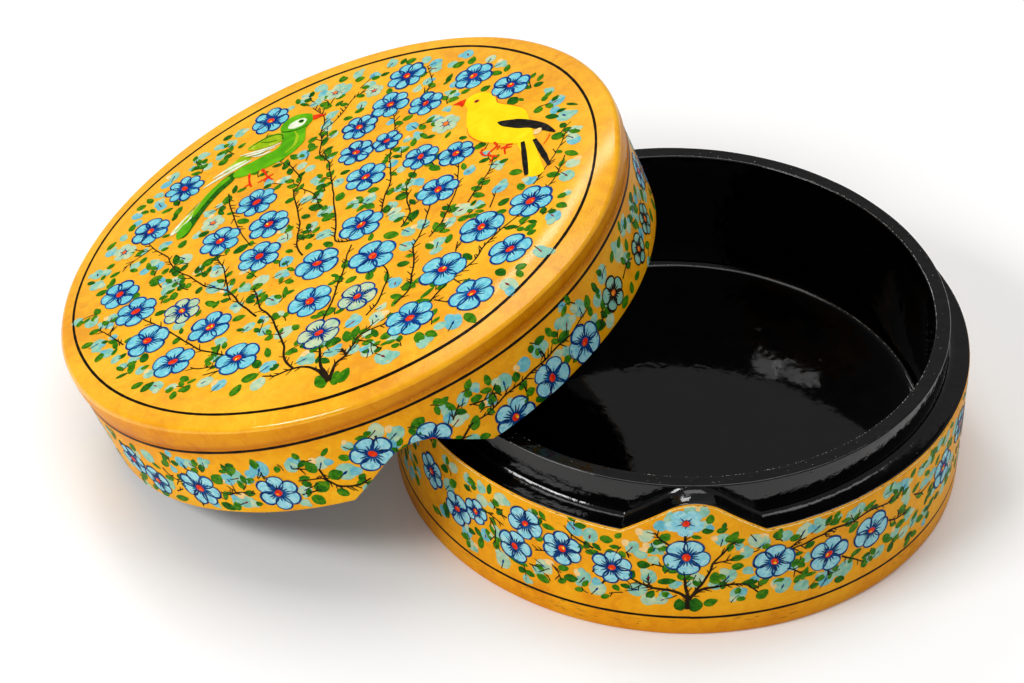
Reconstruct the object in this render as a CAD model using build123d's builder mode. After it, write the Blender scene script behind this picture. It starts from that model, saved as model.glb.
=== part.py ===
"""Round papier mache box with a lift-off lid, millimetres, +Z up.

The drum is cut into a base and a lid along a line that climbs into one tent-shaped peak at the
front. A black lacquered collar stands inside the base wall, and the lid skirt drops over it.
The lid is off: its low edge stands on the table and its skirt leans on the collar's rim.
The origin is the centre of the base's underside, and the tent faces -Y.
"""
import os
from math import acos, asin, cos, degrees, radians, sin, sqrt, tan

from build123d import *

# Drum: the outer form that base and lid were cut from
drum_radius = 62.6        # outer radius of the base wall at the parting line
drum_draft = 1.6          # degrees that the side leans outwards, from the table up
wall_thickness = 4.7      # at the parting line
board_thickness = 7.0     # floor board of the base
foot_bevel = 0.8          # bottom outer edge of the base

# Parting line, seen from the front
ledge_height = 29.9       # height of the plain cut above the table
tent_half_width = 15.3    # from the middle of the tent to each foot
tent_slope = 35.5         # degrees, sides of the tent
tent_crown_radius = 9.6   # rounding of its peak
tent_sag = 1.0            # how far the line dips at the tent's feet
sag_reach = 40.0          # where the dip starts, from the middle
foot_round = 0.8          # rounding where the tent's side meets the plain cut

# Collar: the black lacquered ring that locates the lid
collar_thickness = 3.4
collar_over_tent = 0.5    # the rim stands this much above the tent's peak
rim_bevel = 0.7           # both edges of the rim
lacquer_fill = 1.4        # lacquer pooled in the corner of the floor
glue_line = 0.1           # between the collar and the wall

# Lid
lid_height = 25.0         # from its cut edge to its top face
lid_margin = 2.4          # the skirt stands this much outside the base wall
lid_board = 7.0           # top board, from its seam with the skirt to the top face
lid_bulge = 0.5           # how far the board's edge stands out from the skirt
lid_edge_radius = 1.2     # rounding of the top edge
lid_clearance = 1.0       # between the skirt and the collar

# How the lid lies: off the box, leaning on its left side
lean_angle = 23.4         # degrees between the lid's axis and the vertical
lean_azimuth = 169.9      # compass direction that the lid's axis leans to, from +X towards +Y
stand_azimuth = 167.4     # direction from the base's axis to the lid's centre
lid_spin = 0.473          # degrees that the lid is turned, from the notch's foot lying on the rim
rest_gap = 0.3            # clearance where the lid stands on the table and on the rim

# Worked out from the above
draft = tan(radians(drum_draft))
foot_radius = drum_radius - ledge_height * draft
collar_outer = drum_radius - wall_thickness - glue_line
collar_inner = collar_outer - collar_thickness
tent_foot = ledge_height - tent_sag
tent_apex = tent_foot + tent_half_width * tan(radians(tent_slope))
tent_peak = tent_apex - tent_crown_radius * (1 / cos(radians(tent_slope)) - 1)
rim_height = tent_peak + collar_over_tent
skirt_outer = drum_radius + lid_margin
skirt_inner = collar_outer + lid_clearance
skirt_height = lid_height - lid_board
skirt_top_radius = skirt_outer + skirt_height * draft
beyond = 1.5 * drum_radius  # reach of the cutting solids, past every wall


def lid_seat():
    """The plane of the lid's cut edge as the lid leans, with the tent's notch along its -Y."""
    axis = Vector(0, 0, 1).rotate(Axis((0, 0, 0), (0, 1, 0)), lean_angle)
    axis = axis.rotate(Axis.Z, lean_azimuth)
    height = rest_gap + skirt_outer * sin(radians(lean_angle))
    # The skirt crosses the rim at two places, where its inner edge is lowest over the rim's outer
    # edge. That point of the skirt, in the dip beside the tent's notch, is set on the rim's circle.
    above = rim_height + rest_gap + tent_sag * cos(radians(lean_angle)) - height
    turn = acos(above / (skirt_inner * sin(radians(lean_angle))))
    along = skirt_inner * cos(turn) * cos(radians(lean_angle))
    across = skirt_inner * sin(turn)
    uphill = Vector(-1, 0, 0).rotate(Axis.Z, lean_azimuth)
    outwards = Vector(1, 0, 0).rotate(Axis.Z, stand_azimuth)
    distance = 0
    for side in (-1, 1):
        arm = uphill * along + uphill.rotate(Axis.Z, 90) * (side * across)
        reach = outwards.dot(arm)
        distance = max(distance, sqrt(reach**2 - arm.length**2 + (collar_outer + rest_gap) ** 2) - reach)
    centre = outwards * distance + Vector(0, 0, height)
    # The notch follows the front crossing: its near foot lies lid_spin past it, round the lid
    notch = degrees(turn + asin(tent_half_width / skirt_inner)) - lid_spin
    climb = uphill * cos(radians(lean_angle)) + Vector(0, 0, sin(radians(lean_angle)))
    return Plane(origin=centre, x_dir=climb.rotate(Axis((0, 0, 0), axis), 90 - notch), z_dir=axis)


def profile_plane(seat):
    """A plane through a seat's axis: x runs outwards, y up the axis, and it faces the tent."""
    return Plane(origin=seat.origin, x_dir=seat.x_dir, z_dir=-seat.y_dir)


def cut_off(seat, lift, edge):
    """Cut away all on one side of the parting line, up or down to the height called edge.

    Heights are over lift. The tent is cut in the front half, and the back half is cut level.
    """
    level = ledge_height - lift
    foot = tent_foot - lift
    with BuildSketch(profile_plane(seat)) as front:
        with BuildLine():
            FilletPolyline(
                (-beyond, level),
                (-sag_reach, level),
                (-tent_half_width, foot),
                (0, tent_apex - lift),
                (tent_half_width, foot),
                (sag_reach, level),
                (beyond, level),
                radius=[sag_reach, foot_round, tent_crown_radius, foot_round, sag_reach],
            )
            Polyline((beyond, level), (beyond, edge), (-beyond, edge), (-beyond, level))
        make_face()
    extrude(front.sketch, amount=beyond, mode=Mode.SUBTRACT)
    with BuildSketch(profile_plane(seat)) as back:
        with BuildLine():
            Polyline((-beyond, level), (beyond, level), (beyond, edge), (-beyond, edge), close=True)
        make_face()
    extrude(back.sketch, amount=-beyond, mode=Mode.SUBTRACT)


table = Plane.XY
lean = lid_seat()
table_axis = Axis(table.origin, table.z_dir)
lean_axis = Axis(lean.origin, lean.z_dir)

# Floor board: a full disc under the wall, its lower edge bevelled
with BuildPart() as base_floor:
    with BuildSketch(profile_plane(table)) as floor_profile:
        with BuildLine():
            Polyline((0, 0), (foot_radius, 0), (foot_radius + board_thickness * draft, board_thickness),
                     (0, board_thickness), close=True)
        make_face()
        chamfer(floor_profile.vertices().group_by(Axis.Y)[0].sort_by(Axis.X)[-1], foot_bevel)
    revolve(axis=table_axis)

# Base wall: a tapered ring on the floor board, cut off along the parting line
with BuildPart() as base_wall:
    with BuildSketch(profile_plane(table)):
        with BuildLine():
            Polyline(
                (collar_outer + glue_line, board_thickness),
                (foot_radius + board_thickness * draft, board_thickness),
                (foot_radius + rim_height * draft, rim_height),
                (collar_outer + glue_line, rim_height),
                close=True,
            )
        make_face()
    revolve(axis=table_axis)
    cut_off(table, 0, 2 * rim_height)

# Inner collar: a full-height ring, bevelled at the rim and where lacquer pools at its foot
with BuildPart() as inner_collar:
    with BuildSketch(profile_plane(table)) as collar_profile:
        with BuildLine():
            Polyline(
                (collar_inner, board_thickness + lacquer_fill),
                (collar_inner, rim_height),
                (collar_outer, rim_height),
                (collar_outer, board_thickness),
                (collar_inner - lacquer_fill, board_thickness),
                close=True,
            )
        make_face()
        chamfer(collar_profile.vertices().group_by(Axis.Y)[-1], rim_bevel)
    revolve(axis=table_axis)

# Lid skirt: the rest of the drum's side, with the notch that fits over the tent
with BuildPart() as lid_skirt:
    with BuildSketch(profile_plane(lean)):
        with BuildLine():
            Polyline(
                (skirt_inner, -tent_sag),
                (skirt_outer - tent_sag * draft, -tent_sag),
                (skirt_top_radius, skirt_height),
                (skirt_inner, skirt_height),
                close=True,
            )
        make_face()
    revolve(axis=lean_axis)
    cut_off(lean, ledge_height, -2 * rim_height)

# Lid top: a board on the skirt, its edge rounded over and standing a little proud
with BuildPart() as lid_top:
    with BuildSketch(profile_plane(lean)) as board_profile:
        with BuildLine():
            Polyline((skirt_top_radius, skirt_height), (0, skirt_height), (0, lid_height),
                     (skirt_top_radius + lid_bulge, lid_height),
                     (skirt_top_radius + lid_bulge, lid_height - lid_board / 2))
            RadiusArc((skirt_top_radius + lid_bulge, lid_height - lid_board / 2),
                      (skirt_top_radius, skirt_height), lid_board)
        make_face()
        fillet(board_profile.vertices().group_by(Axis.Y)[-1].sort_by(Axis.X)[-1], lid_edge_radius)
    revolve(axis=lean_axis)

os.makedirs("parts", exist_ok=True)
pieces = {
    "base_floor": base_floor,
    "base_wall": base_wall,
    "inner_collar": inner_collar,
    "lid_skirt": lid_skirt,
    "lid_top": lid_top,
}
for label, piece in pieces.items():
    piece.part.label = label
    export_step(piece.part, f"parts/{label}.step")
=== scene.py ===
"""Looks of the painted papier mache box: gold ground, flowers and birds, black lacquer inside."""
import math
import random

import bpy
import numpy as np
from mathutils import Euler, Matrix, Vector
from mathutils.geometry import tessellate_polygon


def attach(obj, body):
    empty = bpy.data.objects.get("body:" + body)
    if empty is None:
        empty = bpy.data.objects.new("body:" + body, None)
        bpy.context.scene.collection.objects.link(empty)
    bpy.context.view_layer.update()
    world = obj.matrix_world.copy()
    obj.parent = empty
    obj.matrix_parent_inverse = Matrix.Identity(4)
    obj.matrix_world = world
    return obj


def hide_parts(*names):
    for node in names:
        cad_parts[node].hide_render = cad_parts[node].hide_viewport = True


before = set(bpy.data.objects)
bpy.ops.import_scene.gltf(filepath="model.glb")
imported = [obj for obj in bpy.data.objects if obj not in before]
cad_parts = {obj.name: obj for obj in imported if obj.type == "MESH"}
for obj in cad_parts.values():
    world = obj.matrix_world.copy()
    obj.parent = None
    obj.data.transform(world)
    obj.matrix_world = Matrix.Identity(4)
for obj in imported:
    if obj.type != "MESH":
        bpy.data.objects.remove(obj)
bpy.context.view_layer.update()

MM = 0.001
TURN = 2 * math.pi
rng = random.Random(7)

# Sizes in millimetres, as in the construction
DRUM, DRAFT, WALL, FLOOR = 62.6, math.tan(math.radians(1.6)), 4.7, 7.0
LEDGE, TENT_HALF, TENT_SLOPE = 29.9, 15.3, math.radians(35.5)
CROWN, SAG, REACH = 9.6, 1.0, 40.0
FOOT = DRUM - LEDGE * DRAFT
COLLAR_OUT = DRUM - WALL - 0.1
COLLAR_IN = COLLAR_OUT - 3.4
TENT_APEX = LEDGE - SAG + TENT_HALF * math.tan(TENT_SLOPE)
TENT_PEAK = TENT_APEX - CROWN * (1 / math.cos(TENT_SLOPE) - 1)
RIM = TENT_PEAK + 0.5
LID_H, LID_BOARD, BULGE = 25.0, 7.0, 0.5
SEAM = LID_H - LID_BOARD
SKIRT = DRUM + 2.4
SKIRT_IN = COLLAR_OUT + 1.0
SKIRT_TOP = SKIRT + SEAM * DRAFT
NOTCH = math.radians(8.9)        # the notch is turned this far from the painting's front
FALL_FROM, FALL_OVER = 56.0, 9.5  # the border of the lid's face falls from this radius, over this width
AXIS = 0.02                      # a turned piece closes this near its axis

# The lid's own frame: its cut edge's centre, and axes of the painting on it
lean, lean_to = math.radians(23.4), math.radians(169.9)
LID_O = np.array((-65.080, 14.547, 26.115))
LID_Z = np.array((math.sin(lean) * math.cos(lean_to), math.sin(lean) * math.sin(lean_to), math.cos(lean)))
LID_X = np.array((1.0, 0, 0)) - LID_Z * LID_Z[0]
LID_X /= np.linalg.norm(LID_X)
LID_Y = np.cross(LID_Z, LID_X)
BASE_AXES = (np.zeros(3), np.array((1.0, 0, 0)), np.array((0, 1.0, 0)), np.array((0, 0, 1.0)))
LID_AXES = (LID_O, LID_X, LID_Y, LID_Z)


def in_frame(axes, x, y, z):
    """Points given in a seat's own axes, as rows of the row frame, in millimetres."""
    o, ex, ey, ez = axes
    x, y, z = np.broadcast_arrays(*(np.asarray(v, float) for v in (x, y, z)))
    return o + x[..., None] * ex + y[..., None] * ey + z[..., None] * ez


def on_drum(axes, angle, radius, height):
    """Points on a drum, the angle counted from the painting's front towards +X."""
    return in_frame(axes, radius * np.sin(angle), -radius * np.cos(angle), height)


def uneven(angle, z):
    """How far the hand-built side lies inside its true circle, at an angle and height."""
    a = np.asarray(angle, float)
    w = np.sin(3 * a + 1.1) + 0.6 * np.sin(7 * a + 0.4 + 0.07 * z) + 0.4 * np.sin(16 * a + 2 - 0.12 * z)
    return 0.055 * (w - 2.0)


def parting(x):
    """Height of the parting line over the table, x millimetres to the side of the tent."""
    a = np.abs(np.asarray(x, float))
    crown = np.sqrt(np.clip(CROWN**2 - a**2, 0, None)) + TENT_PEAK - CROWN
    side = TENT_APEX - a * math.tan(TENT_SLOPE)
    dip = np.minimum(LEDGE, LEDGE - SAG + (a - TENT_HALF) * SAG / (REACH - TENT_HALF))
    return np.where(a < CROWN * math.sin(TENT_SLOPE), crown, np.where(a < TENT_HALF, side, dip))


def cut_height(angle, radius, turned):
    """Height of the parting line round a drum, at an angle from the painting's front."""
    a = np.asarray(angle, float) - turned
    return np.where(np.cos(a) > 0, parting(radius * np.sin(a)), LEDGE)


def ease(t):
    """From 0 to 1 with a soft start and end."""
    t = np.clip(t, 0, 1)
    return t * t * (3 - 2 * t)


# Materials -------------------------------------------------------------------


def srgb(r, g, b):
    """A colour written as sRGB, 0 to 255, in the shader's linear values."""
    return tuple(c / 3294.6 if c <= 10.3 else ((c / 255 + 0.055) / 1.055) ** 2.4 for c in (r, g, b)) + (1.0,)


class Shader:
    """A material under construction: a Principled shader and the nodes that feed it."""

    def __init__(self, name, **sockets):
        self.mat = bpy.data.materials.new(name)
        self.mat.use_nodes = True
        self.tree = self.mat.node_tree
        self.main = self.tree.nodes["Principled BSDF"]
        for key, value in sockets.items():
            self.main.inputs[key.replace("_", " ")].default_value = value
        self.place = self.node("ShaderNodeTexCoord").outputs["Object"]

    def node(self, kind, inputs=(), **settings):
        """A node with its inputs linked where a socket is given, and set otherwise."""
        n = self.tree.nodes.new(kind)
        for key, value in settings.items():
            setattr(n, key, value)
        for key, value in dict(inputs).items():
            if isinstance(value, bpy.types.NodeSocket):
                self.tree.links.new(value, n.inputs[key])
            else:
                n.inputs[key].default_value = value
        return n

    def noise(self, size, detail, rough=0.5, warp=0.0):
        """Noise whose features are about size millimetres."""
        inputs = {"Vector": self.place, "Scale": 1 / (size * MM), "Detail": detail, "Roughness": rough,
                  "Distortion": warp}
        return self.node("ShaderNodeTexNoise", inputs).outputs["Fac"]

    def ramp(self, fac, *stops):
        """A colour from stops of (position, colour)."""
        n = self.node("ShaderNodeValToRGB", {"Fac": fac})
        e = n.color_ramp.elements
        while len(e) < len(stops):
            e.new(0.5)
        for item, (at, colour) in zip(e, stops):
            item.position, item.color = at, colour
        return n.outputs[0]

    def spread(self, fac, low, high, to_low=0.0, to_high=1.0):
        """A value between low and high, spread over another range and clamped to it."""
        inputs = {0: fac, 1: low, 2: high, 3: to_low, 4: to_high}
        return self.node("ShaderNodeMapRange", inputs).outputs[0]

    def mix(self, fac, a, b, how="MIX"):
        """Two colours mixed or blended."""
        return self.node("ShaderNodeMix", {0: fac, 6: a, 7: b}, data_type="RGBA", blend_type=how).outputs[2]

    def calc(self, a, b, how):
        """A sum, difference or product of two values."""
        return self.node("ShaderNodeMath", {0: a, 1: b}, operation=how).outputs[0]

    def along(self, axes):
        """Height in a seat's frame, in millimetres."""
        o, _, _, ez = axes
        n = self.node("ShaderNodeVectorMath", {0: self.place, 1: tuple(ez / MM)}, operation="DOT_PRODUCT")
        return self.calc(n.outputs["Value"], float(o @ ez), "SUBTRACT")

    def bump(self, height, distance, below=None):
        """Relief of some millimetres, over another relief where there is one below."""
        inputs = {"Height": height, "Distance": distance * MM, "Strength": 1.0}
        if below is not None:
            inputs["Normal"] = below
        return self.node("ShaderNodeBump", inputs).outputs[0]

    def wire(self, socket, key):
        """Feed a socket of the Principled shader."""
        self.tree.links.new(socket, self.main.inputs[key])


def ground(name, axes, levels, coat=0.12, grained=0.04, gloss=0.09):
    """Golden varnished ground; levels are (height in millimetres, tint) up the side."""
    s = Shader(name, Coat_Weight=coat, Coat_Roughness=gloss, Specular_IOR_Level=0.03)
    broad, brush, grain = s.noise(21, 3, 0.55, 0.4), s.noise(3.1, 4, 0.62, 0.8), s.noise(0.55, 3, 0.6)
    tone = s.calc(s.calc(broad, 0.55, "MULTIPLY"), s.calc(brush, 0.45, "MULTIPLY"), "ADD")
    gold = s.ramp(tone, (0.36, srgb(234, 154, 6)), (0.5, srgb(247, 175, 12)), (0.64, srgb(253, 190, 28)))
    low, high = levels[0][0], levels[-1][0]
    stops = [((h - low) / (high - low), srgb(*tint)) for h, tint in levels]
    shade = s.ramp(s.spread(s.along(axes), low, high), *stops)
    gold = s.mix(1.0, gold, shade, "MULTIPLY")
    specks = s.spread(s.noise(1.1, 4, 0.7), 0.63, 0.74)
    gold = s.mix(s.calc(specks, 0.35, "MULTIPLY"), gold, srgb(176, 98, 14))
    pale = s.spread(s.noise(1.7, 3, 0.6, 1.5), 0.66, 0.8)
    gold = s.mix(s.calc(pale, 0.35, "MULTIPLY"), gold, srgb(255, 219, 110))
    s.wire(gold, "Base Color")
    s.wire(s.spread(brush, 0.3, 0.7, 0.34, 0.52), "Roughness")
    s.wire(s.bump(grain, grained, s.bump(brush, 0.16)), "Normal")
    return s.mat


def paint(name, dark, mid, light, size=1.3, rough=0.4, relief=0.03):
    """Opaque brushed paint that varies a little in thickness."""
    s = Shader(name, Coat_Weight=0.06, Coat_Roughness=0.1, Specular_IOR_Level=0.03)
    tone = s.noise(size, 3, 0.55, 0.5)
    s.wire(s.ramp(tone, (0.34, srgb(*dark)), (0.5, srgb(*mid)), (0.66, srgb(*light))), "Base Color")
    s.wire(s.spread(tone, 0.3, 0.7, rough - 0.06, rough + 0.08), "Roughness")
    s.wire(s.bump(s.noise(0.5, 2), relief), "Normal")
    return s.mat


def lacquer(name, rough, ripple=0.05, pits=0.004, pip=0.02):
    """Brushed black lacquer: glossy, with ripples and a few dust pips."""
    s = Shader(name, Coat_Weight=0.0)
    wave, fine = s.noise(5.5, 2, 0.5, 0.3), s.noise(1.4, 3, 0.55)
    pips = s.spread(s.noise(0.9, 2, 0.5), 0.72, 0.82)
    s.wire(s.ramp(wave, (0.35, srgb(1, 1, 1)), (0.65, srgb(5, 4, 4))), "Base Color")
    s.wire(s.spread(fine, 0.3, 0.7, rough - 0.03, rough + 0.04), "Roughness")
    s.wire(s.bump(pips, pip, s.bump(fine, pits, s.bump(wave, ripple))), "Normal")
    return s.mat


# The ground's tint at a height in millimetres, from the lowest up
# On the lid these tints are painted shade: darkest in the seam under the swollen edge, and darker up the
# swollen band than on the face
LID_SHADE_LEVELS = [(-2, (252, 246, 235)), (14, (252, 244, 230)), (16.6, (242, 226, 196)),
              (17.4, (214, 182, 120)), (18.2, (204, 166, 100)), (19.5, (228, 204, 160)),
              (22.8, (236, 216, 180)), (24.2, (250, 240, 225))]
FACE_LEVELS = [(20, (250, 242, 230)), (25, (255, 255, 255))]
BASE_LEVELS = [(0, (232, 208, 175)), (3, (246, 230, 205)), (8, (252, 242, 225)), (26, (252, 244, 230)),
               (38, (250, 238, 220))]
# The lid's gold carries that painted shade
gold_lid_shaded = ground("gold_lid_shaded", LID_AXES, LID_SHADE_LEVELS)
gold_base = ground("gold_base", BASE_AXES, BASE_LEVELS)
gold_face = ground("gold_face", LID_AXES, FACE_LEVELS, 0.8, 0.12)
gold_border = ground("gold_border", LID_AXES, FACE_LEVELS, 0.9, 0.2, 0.24)
black = lacquer("black_lacquer_inside", 0.05)
black_wall = lacquer("black_lacquer_wall", 0.05, 0.13, 0.008, 0.02)
black_edge = lacquer("black_lacquer_edges", 0.08, 0.26, 0.07, 0.12)

# Each paint's dark, middle and light tone, then its brush marks' size, roughness and relief where they differ
TONES = {
    "line": ((10, 6, 2), (20, 12, 4), (34, 22, 6)),
    "stem": ((14, 10, 4), (30, 20, 6), (54, 34, 8)),
    "navy": ((0, 26, 88), (0, 50, 124), (8, 84, 152)),
    "ink": ((0, 24, 76), (4, 48, 108), (16, 82, 140)),
    # cream paint is a painted highlight along the base's cut edge
    "cream_highlight": ((246, 200, 96), (252, 218, 134), (255, 236, 176), 0.7),
    # dust paint makes painted glints on the collar's rim and in the corner round the floor
    "glint_specks": ((112, 110, 104), (156, 152, 144), (204, 200, 190), 0.5),
    "rust": ((190, 122, 26), (212, 142, 28), (232, 160, 24), 0.6, 0.55),
    # scuff paint serves for scuffs at the foot and for painted shadow in the lid's seam
    "scuff_and_shade": ((150, 92, 22), (186, 120, 28), (222, 152, 34), 0.6, 0.55),
    "petal": ((96, 184, 202), (114, 198, 212), (150, 212, 212), 1.0),
    "teal": ((122, 194, 210), (148, 210, 220), (176, 222, 220), 1.0),
    "blue": ((52, 150, 194), (70, 168, 204), (96, 186, 210), 0.8),
    "bud": ((118, 180, 162), (140, 194, 172), (168, 204, 172), 1.6),
    "sky": ((90, 168, 186), (110, 184, 194), (140, 198, 194), 1.6),
    "mist": ((156, 194, 160), (178, 204, 170), (200, 210, 166), 1.6),
    "peach": ((238, 190, 112), (242, 200, 132), (246, 212, 150), 1.6),
    "leaf": ((28, 96, 4), (52, 118, 6), (86, 138, 8), 1.2),
    "moss": ((12, 72, 6), (28, 94, 8), (50, 114, 10), 1.2),
    "red": ((206, 30, 8), (228, 48, 8), (238, 72, 14), 0.8),
    "orange": ((232, 84, 22), (244, 112, 28), (250, 140, 36), 0.8),
    "yellow": ((246, 188, 20), (252, 208, 32), (254, 226, 70), 0.8),
    "crimson": ((92, 12, 40), (126, 20, 52), (160, 34, 60), 0.8),
    "white": ((206, 218, 176), (222, 230, 196), (240, 244, 222), 1.6),
    "parrot": ((70, 152, 8), (88, 170, 8), (106, 184, 16), 5.0),
    "lime": ((136, 172, 10), (152, 184, 14), (186, 208, 60), 2.6),
    "canary": ((250, 204, 8), (254, 212, 10), (255, 222, 24), 6.0, 0.4, 0.01),
    "soot": ((10, 10, 10), (22, 20, 18), (44, 40, 34), 1.4),
}
PAINTS = {tone: paint(f"paint_{tone}", *values) for tone, values in TONES.items()}

# Solid pieces ----------------------------------------------------------------


def mesh_object(name, verts, faces, mats, indices, body, stands_for=(), sharp=None):
    """A piece from points in millimetres, riding on a body; its creases over sharp degrees stay sharp."""
    mesh = bpy.data.meshes.new(name)
    mesh.from_pydata([tuple(v) for v in np.asarray(verts) * MM], [], faces)
    for m in mats:
        mesh.materials.append(m)
    mesh.polygons.foreach_set("material_index", indices)
    mesh.polygons.foreach_set("use_smooth", [True] * len(faces))
    if sharp:
        mesh.set_sharp_from_angle(angle=math.radians(sharp))
    mesh.update()
    obj = bpy.data.objects.new(name, mesh)
    bpy.context.scene.collection.objects.link(obj)
    if stands_for:
        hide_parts(*stands_for)
    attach(obj, body)
    return obj


def round_angles(turned, fine):
    """Angles round a drum, so many fine degrees apart across the tent and coarser elsewhere."""
    coarse, tent = 0.6, 17
    near = math.radians(tent)
    angles = [math.radians(k * coarse) for k in range(round(360 / coarse))]
    keep = [a for a in angles if abs((a - turned + math.pi) % TURN - math.pi) > near]
    count = round(2 * tent / fine)
    keep += [turned - near + 2 * near * k / count for k in range(count + 1)]
    return np.array(sorted(a % TURN for a in keep))


def lathe(name, axes, angles, rings, bands, mats, body, stands_for):
    """A turned piece. rings are (radius, height) that may vary with the angle, and bands their materials."""
    n = len(angles)
    points = [on_drum(axes, angles, np.broadcast_to(r, (n,)), np.broadcast_to(z, (n,))) for r, z in rings]
    faces, indices = [], []
    for k, band in enumerate(bands):
        a, b = k * n, ((k + 1) % len(rings)) * n
        for i in range(n):
            j = (i + 1) % n
            faces.append((a + i, a + j, b + j, b + i))
            indices.append(band)
    mesh_object(name, np.concatenate(points), faces, mats, indices, body, [stands_for], sharp=40)


def arc(cr, cz, radius, start, end, steps):
    """Points of an arc in a profile, angles in degrees from outwards towards up."""
    turns = [math.radians(start + (end - start) * k / steps) for k in range(steps + 1)]
    return [(cr + radius * math.cos(a), cz + radius * math.sin(a)) for a in turns]


def base_side(angles, z):
    """Outer radius of the base at a height over the table."""
    return FOOT + z * DRAFT + uneven(angles, z)


def lid_side(angles, z):
    """Outer radius of the lid at a height over its cut edge, with a crack where the board meets the skirt."""
    swell = BULGE * ease((z - SEAM) / (LID_BOARD / 2))
    depth = 0.12 + 0.07 * np.cos(angles - 1.3) + 0.03 * np.sin(9 * angles)
    crack = depth * np.exp(-((z - SEAM - 0.15) / 0.3) ** 2)
    return SKIRT + np.minimum(z, SEAM) * DRAFT + swell - crack + uneven(angles, z)


def sag(angle):
    """How far the lid's edge lies under its face, most at the front right."""
    a = (np.degrees(np.asarray(angle, float)) + 180) % 360 - 180
    return 0.3 + 2.9 * ease((a + 50) / 75) * ease((95 - a) / 33)


def face_height(angle, r):
    """Height of the lid's face over its cut edge; its border falls away to the rounded edge."""
    return LID_H - sag(angle) * (np.clip(np.asarray(r, float) - FALL_FROM, 0, FALL_OVER) / FALL_OVER) ** 2


plain, front, notched = round_angles(0, 0.6), round_angles(0, 0.12), round_angles(NOTCH, 0.12)


def floor_board():
    """The disc under the base, its lower edge worn round."""
    worn, side = 0.8, FOOT + uneven(plain, 0)
    rings = [(r, 0.0) for r in (AXIS, 25, 50, FOOT - 2)]
    for turn in (10, 30, 50, 70, 88):
        a = math.radians(turn)
        rings.append((side - worn + worn * math.sin(a), worn - worn * math.cos(a)))
    rings += [(base_side(plain, z), z) for z in (1.5, 3, 5, FLOOR)]
    rings += [(r, FLOOR) for r in (COLLAR_OUT, 40, 20, AXIS)]
    bands = [1] * 3 + [0] * 9 + [1] * 5
    lathe("floor_board", BASE_AXES, plain, rings, bands, [gold_base, black], "base", "base_floor")


def painted_wall():
    """The base's wall, painted outside; its black cut swells a little and rises into the collar's corner."""
    cut = cut_height(front, DRUM, 0)
    levels = [FLOOR + (cut - 0.35 - FLOOR) * t for t in np.linspace(0, 1, 12)]
    edge, inside = base_side(front, cut), COLLAR_OUT + 0.1
    rings = [(base_side(front, z), z) for z in levels]
    rings += [(edge - out, cut - down) for out, down in ((0.10, 0.10), (0.42, 0), (0.62, 0.06), (1.4, 0.08))]
    corner = ((1.5, -0.02), (0.75, 0.12), (0.28, 0.45), (0, 0.75))
    rings += [(inside + out, cut + up) for out, up in corner] + [(inside, FLOOR)]
    bands = [0] * 12 + [1] * 9
    lathe("painted_wall", BASE_AXES, front, rings, bands, [gold_base, black_edge], "base", "base_wall")


def black_collar():
    """Lacquered inside and out, thick at its rounded rim, with lacquer pooled round the floor."""
    wave = 0.05 * np.sin(9 * plain + 0.5) + 0.04 * np.sin(23 * plain)
    film = FLOOR + 0.4
    rings = [(r, film) for r in (AXIS, 15, 30, 42)] + [(COLLAR_IN - 3.2, FLOOR + 0.42)]
    pool = ((1.6, 0.44), (1.1, 0.5), (0.7, 0.66), (0.36, 0.95))
    rings += [(COLLAR_IN - gap + wave, FLOOR + rise) for gap, rise in pool]
    rings += [(COLLAR_IN - 0.12, FLOOR + 1.4), (COLLAR_IN, FLOOR + 2.0)]
    rings += [(COLLAR_IN + 0.6 * wave, z) for z in (14, 20, 26, 32)]
    rings += [(r + 0.5 * wave, z) for r, z in arc(COLLAR_IN + 0.4, RIM - 0.4, 0.4, 180, 90, 5)]
    rings += [(COLLAR_IN + 1.2, RIM - 0.03), (COLLAR_OUT - 1.0, RIM - 0.05)]
    rings += [(r - 0.5 * wave, z) for r, z in arc(COLLAR_OUT - 0.35, RIM - 0.35, 0.35, 90, 0, 5)]
    rings += [(COLLAR_OUT - 0.05, z) for z in (33, 29, FLOOR)] + [(AXIS, FLOOR)]
    bands = [0] * 9 + [2] * 6 + [1] * 14 + [0] * (len(rings) - 29)
    mats = [black, black_edge, black_wall]
    lathe("black_collar", BASE_AXES, plain, rings, bands, mats, "base", "inner_collar")


def painted_skirt():
    """The lid's ring, painted outside, with the notch for the tent in its cut edge."""
    low = cut_height(notched, DRUM, NOTCH) - LEDGE
    edge = lid_side(notched, low)
    levels = [low + 0.35 + (16.8 - low - 0.35) * t for t in np.linspace(0, 1, 9)] + [17.3, 17.7, SEAM]
    rings = [(SKIRT_IN, SEAM), (SKIRT_IN, low + 0.3), (SKIRT_IN + 0.3, low)]
    rings += [(edge - 1.4, low), (edge - 0.42, low), (edge - 0.10, low + 0.10)]
    rings += [(lid_side(notched, z), z) for z in levels]
    bands = [1] * 4 + [0] * 13 + [1]
    lathe("lid_painted_skirt", LID_AXES, notched, rings, bands, [gold_lid_shaded, black], "lid", "lid_skirt")


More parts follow.
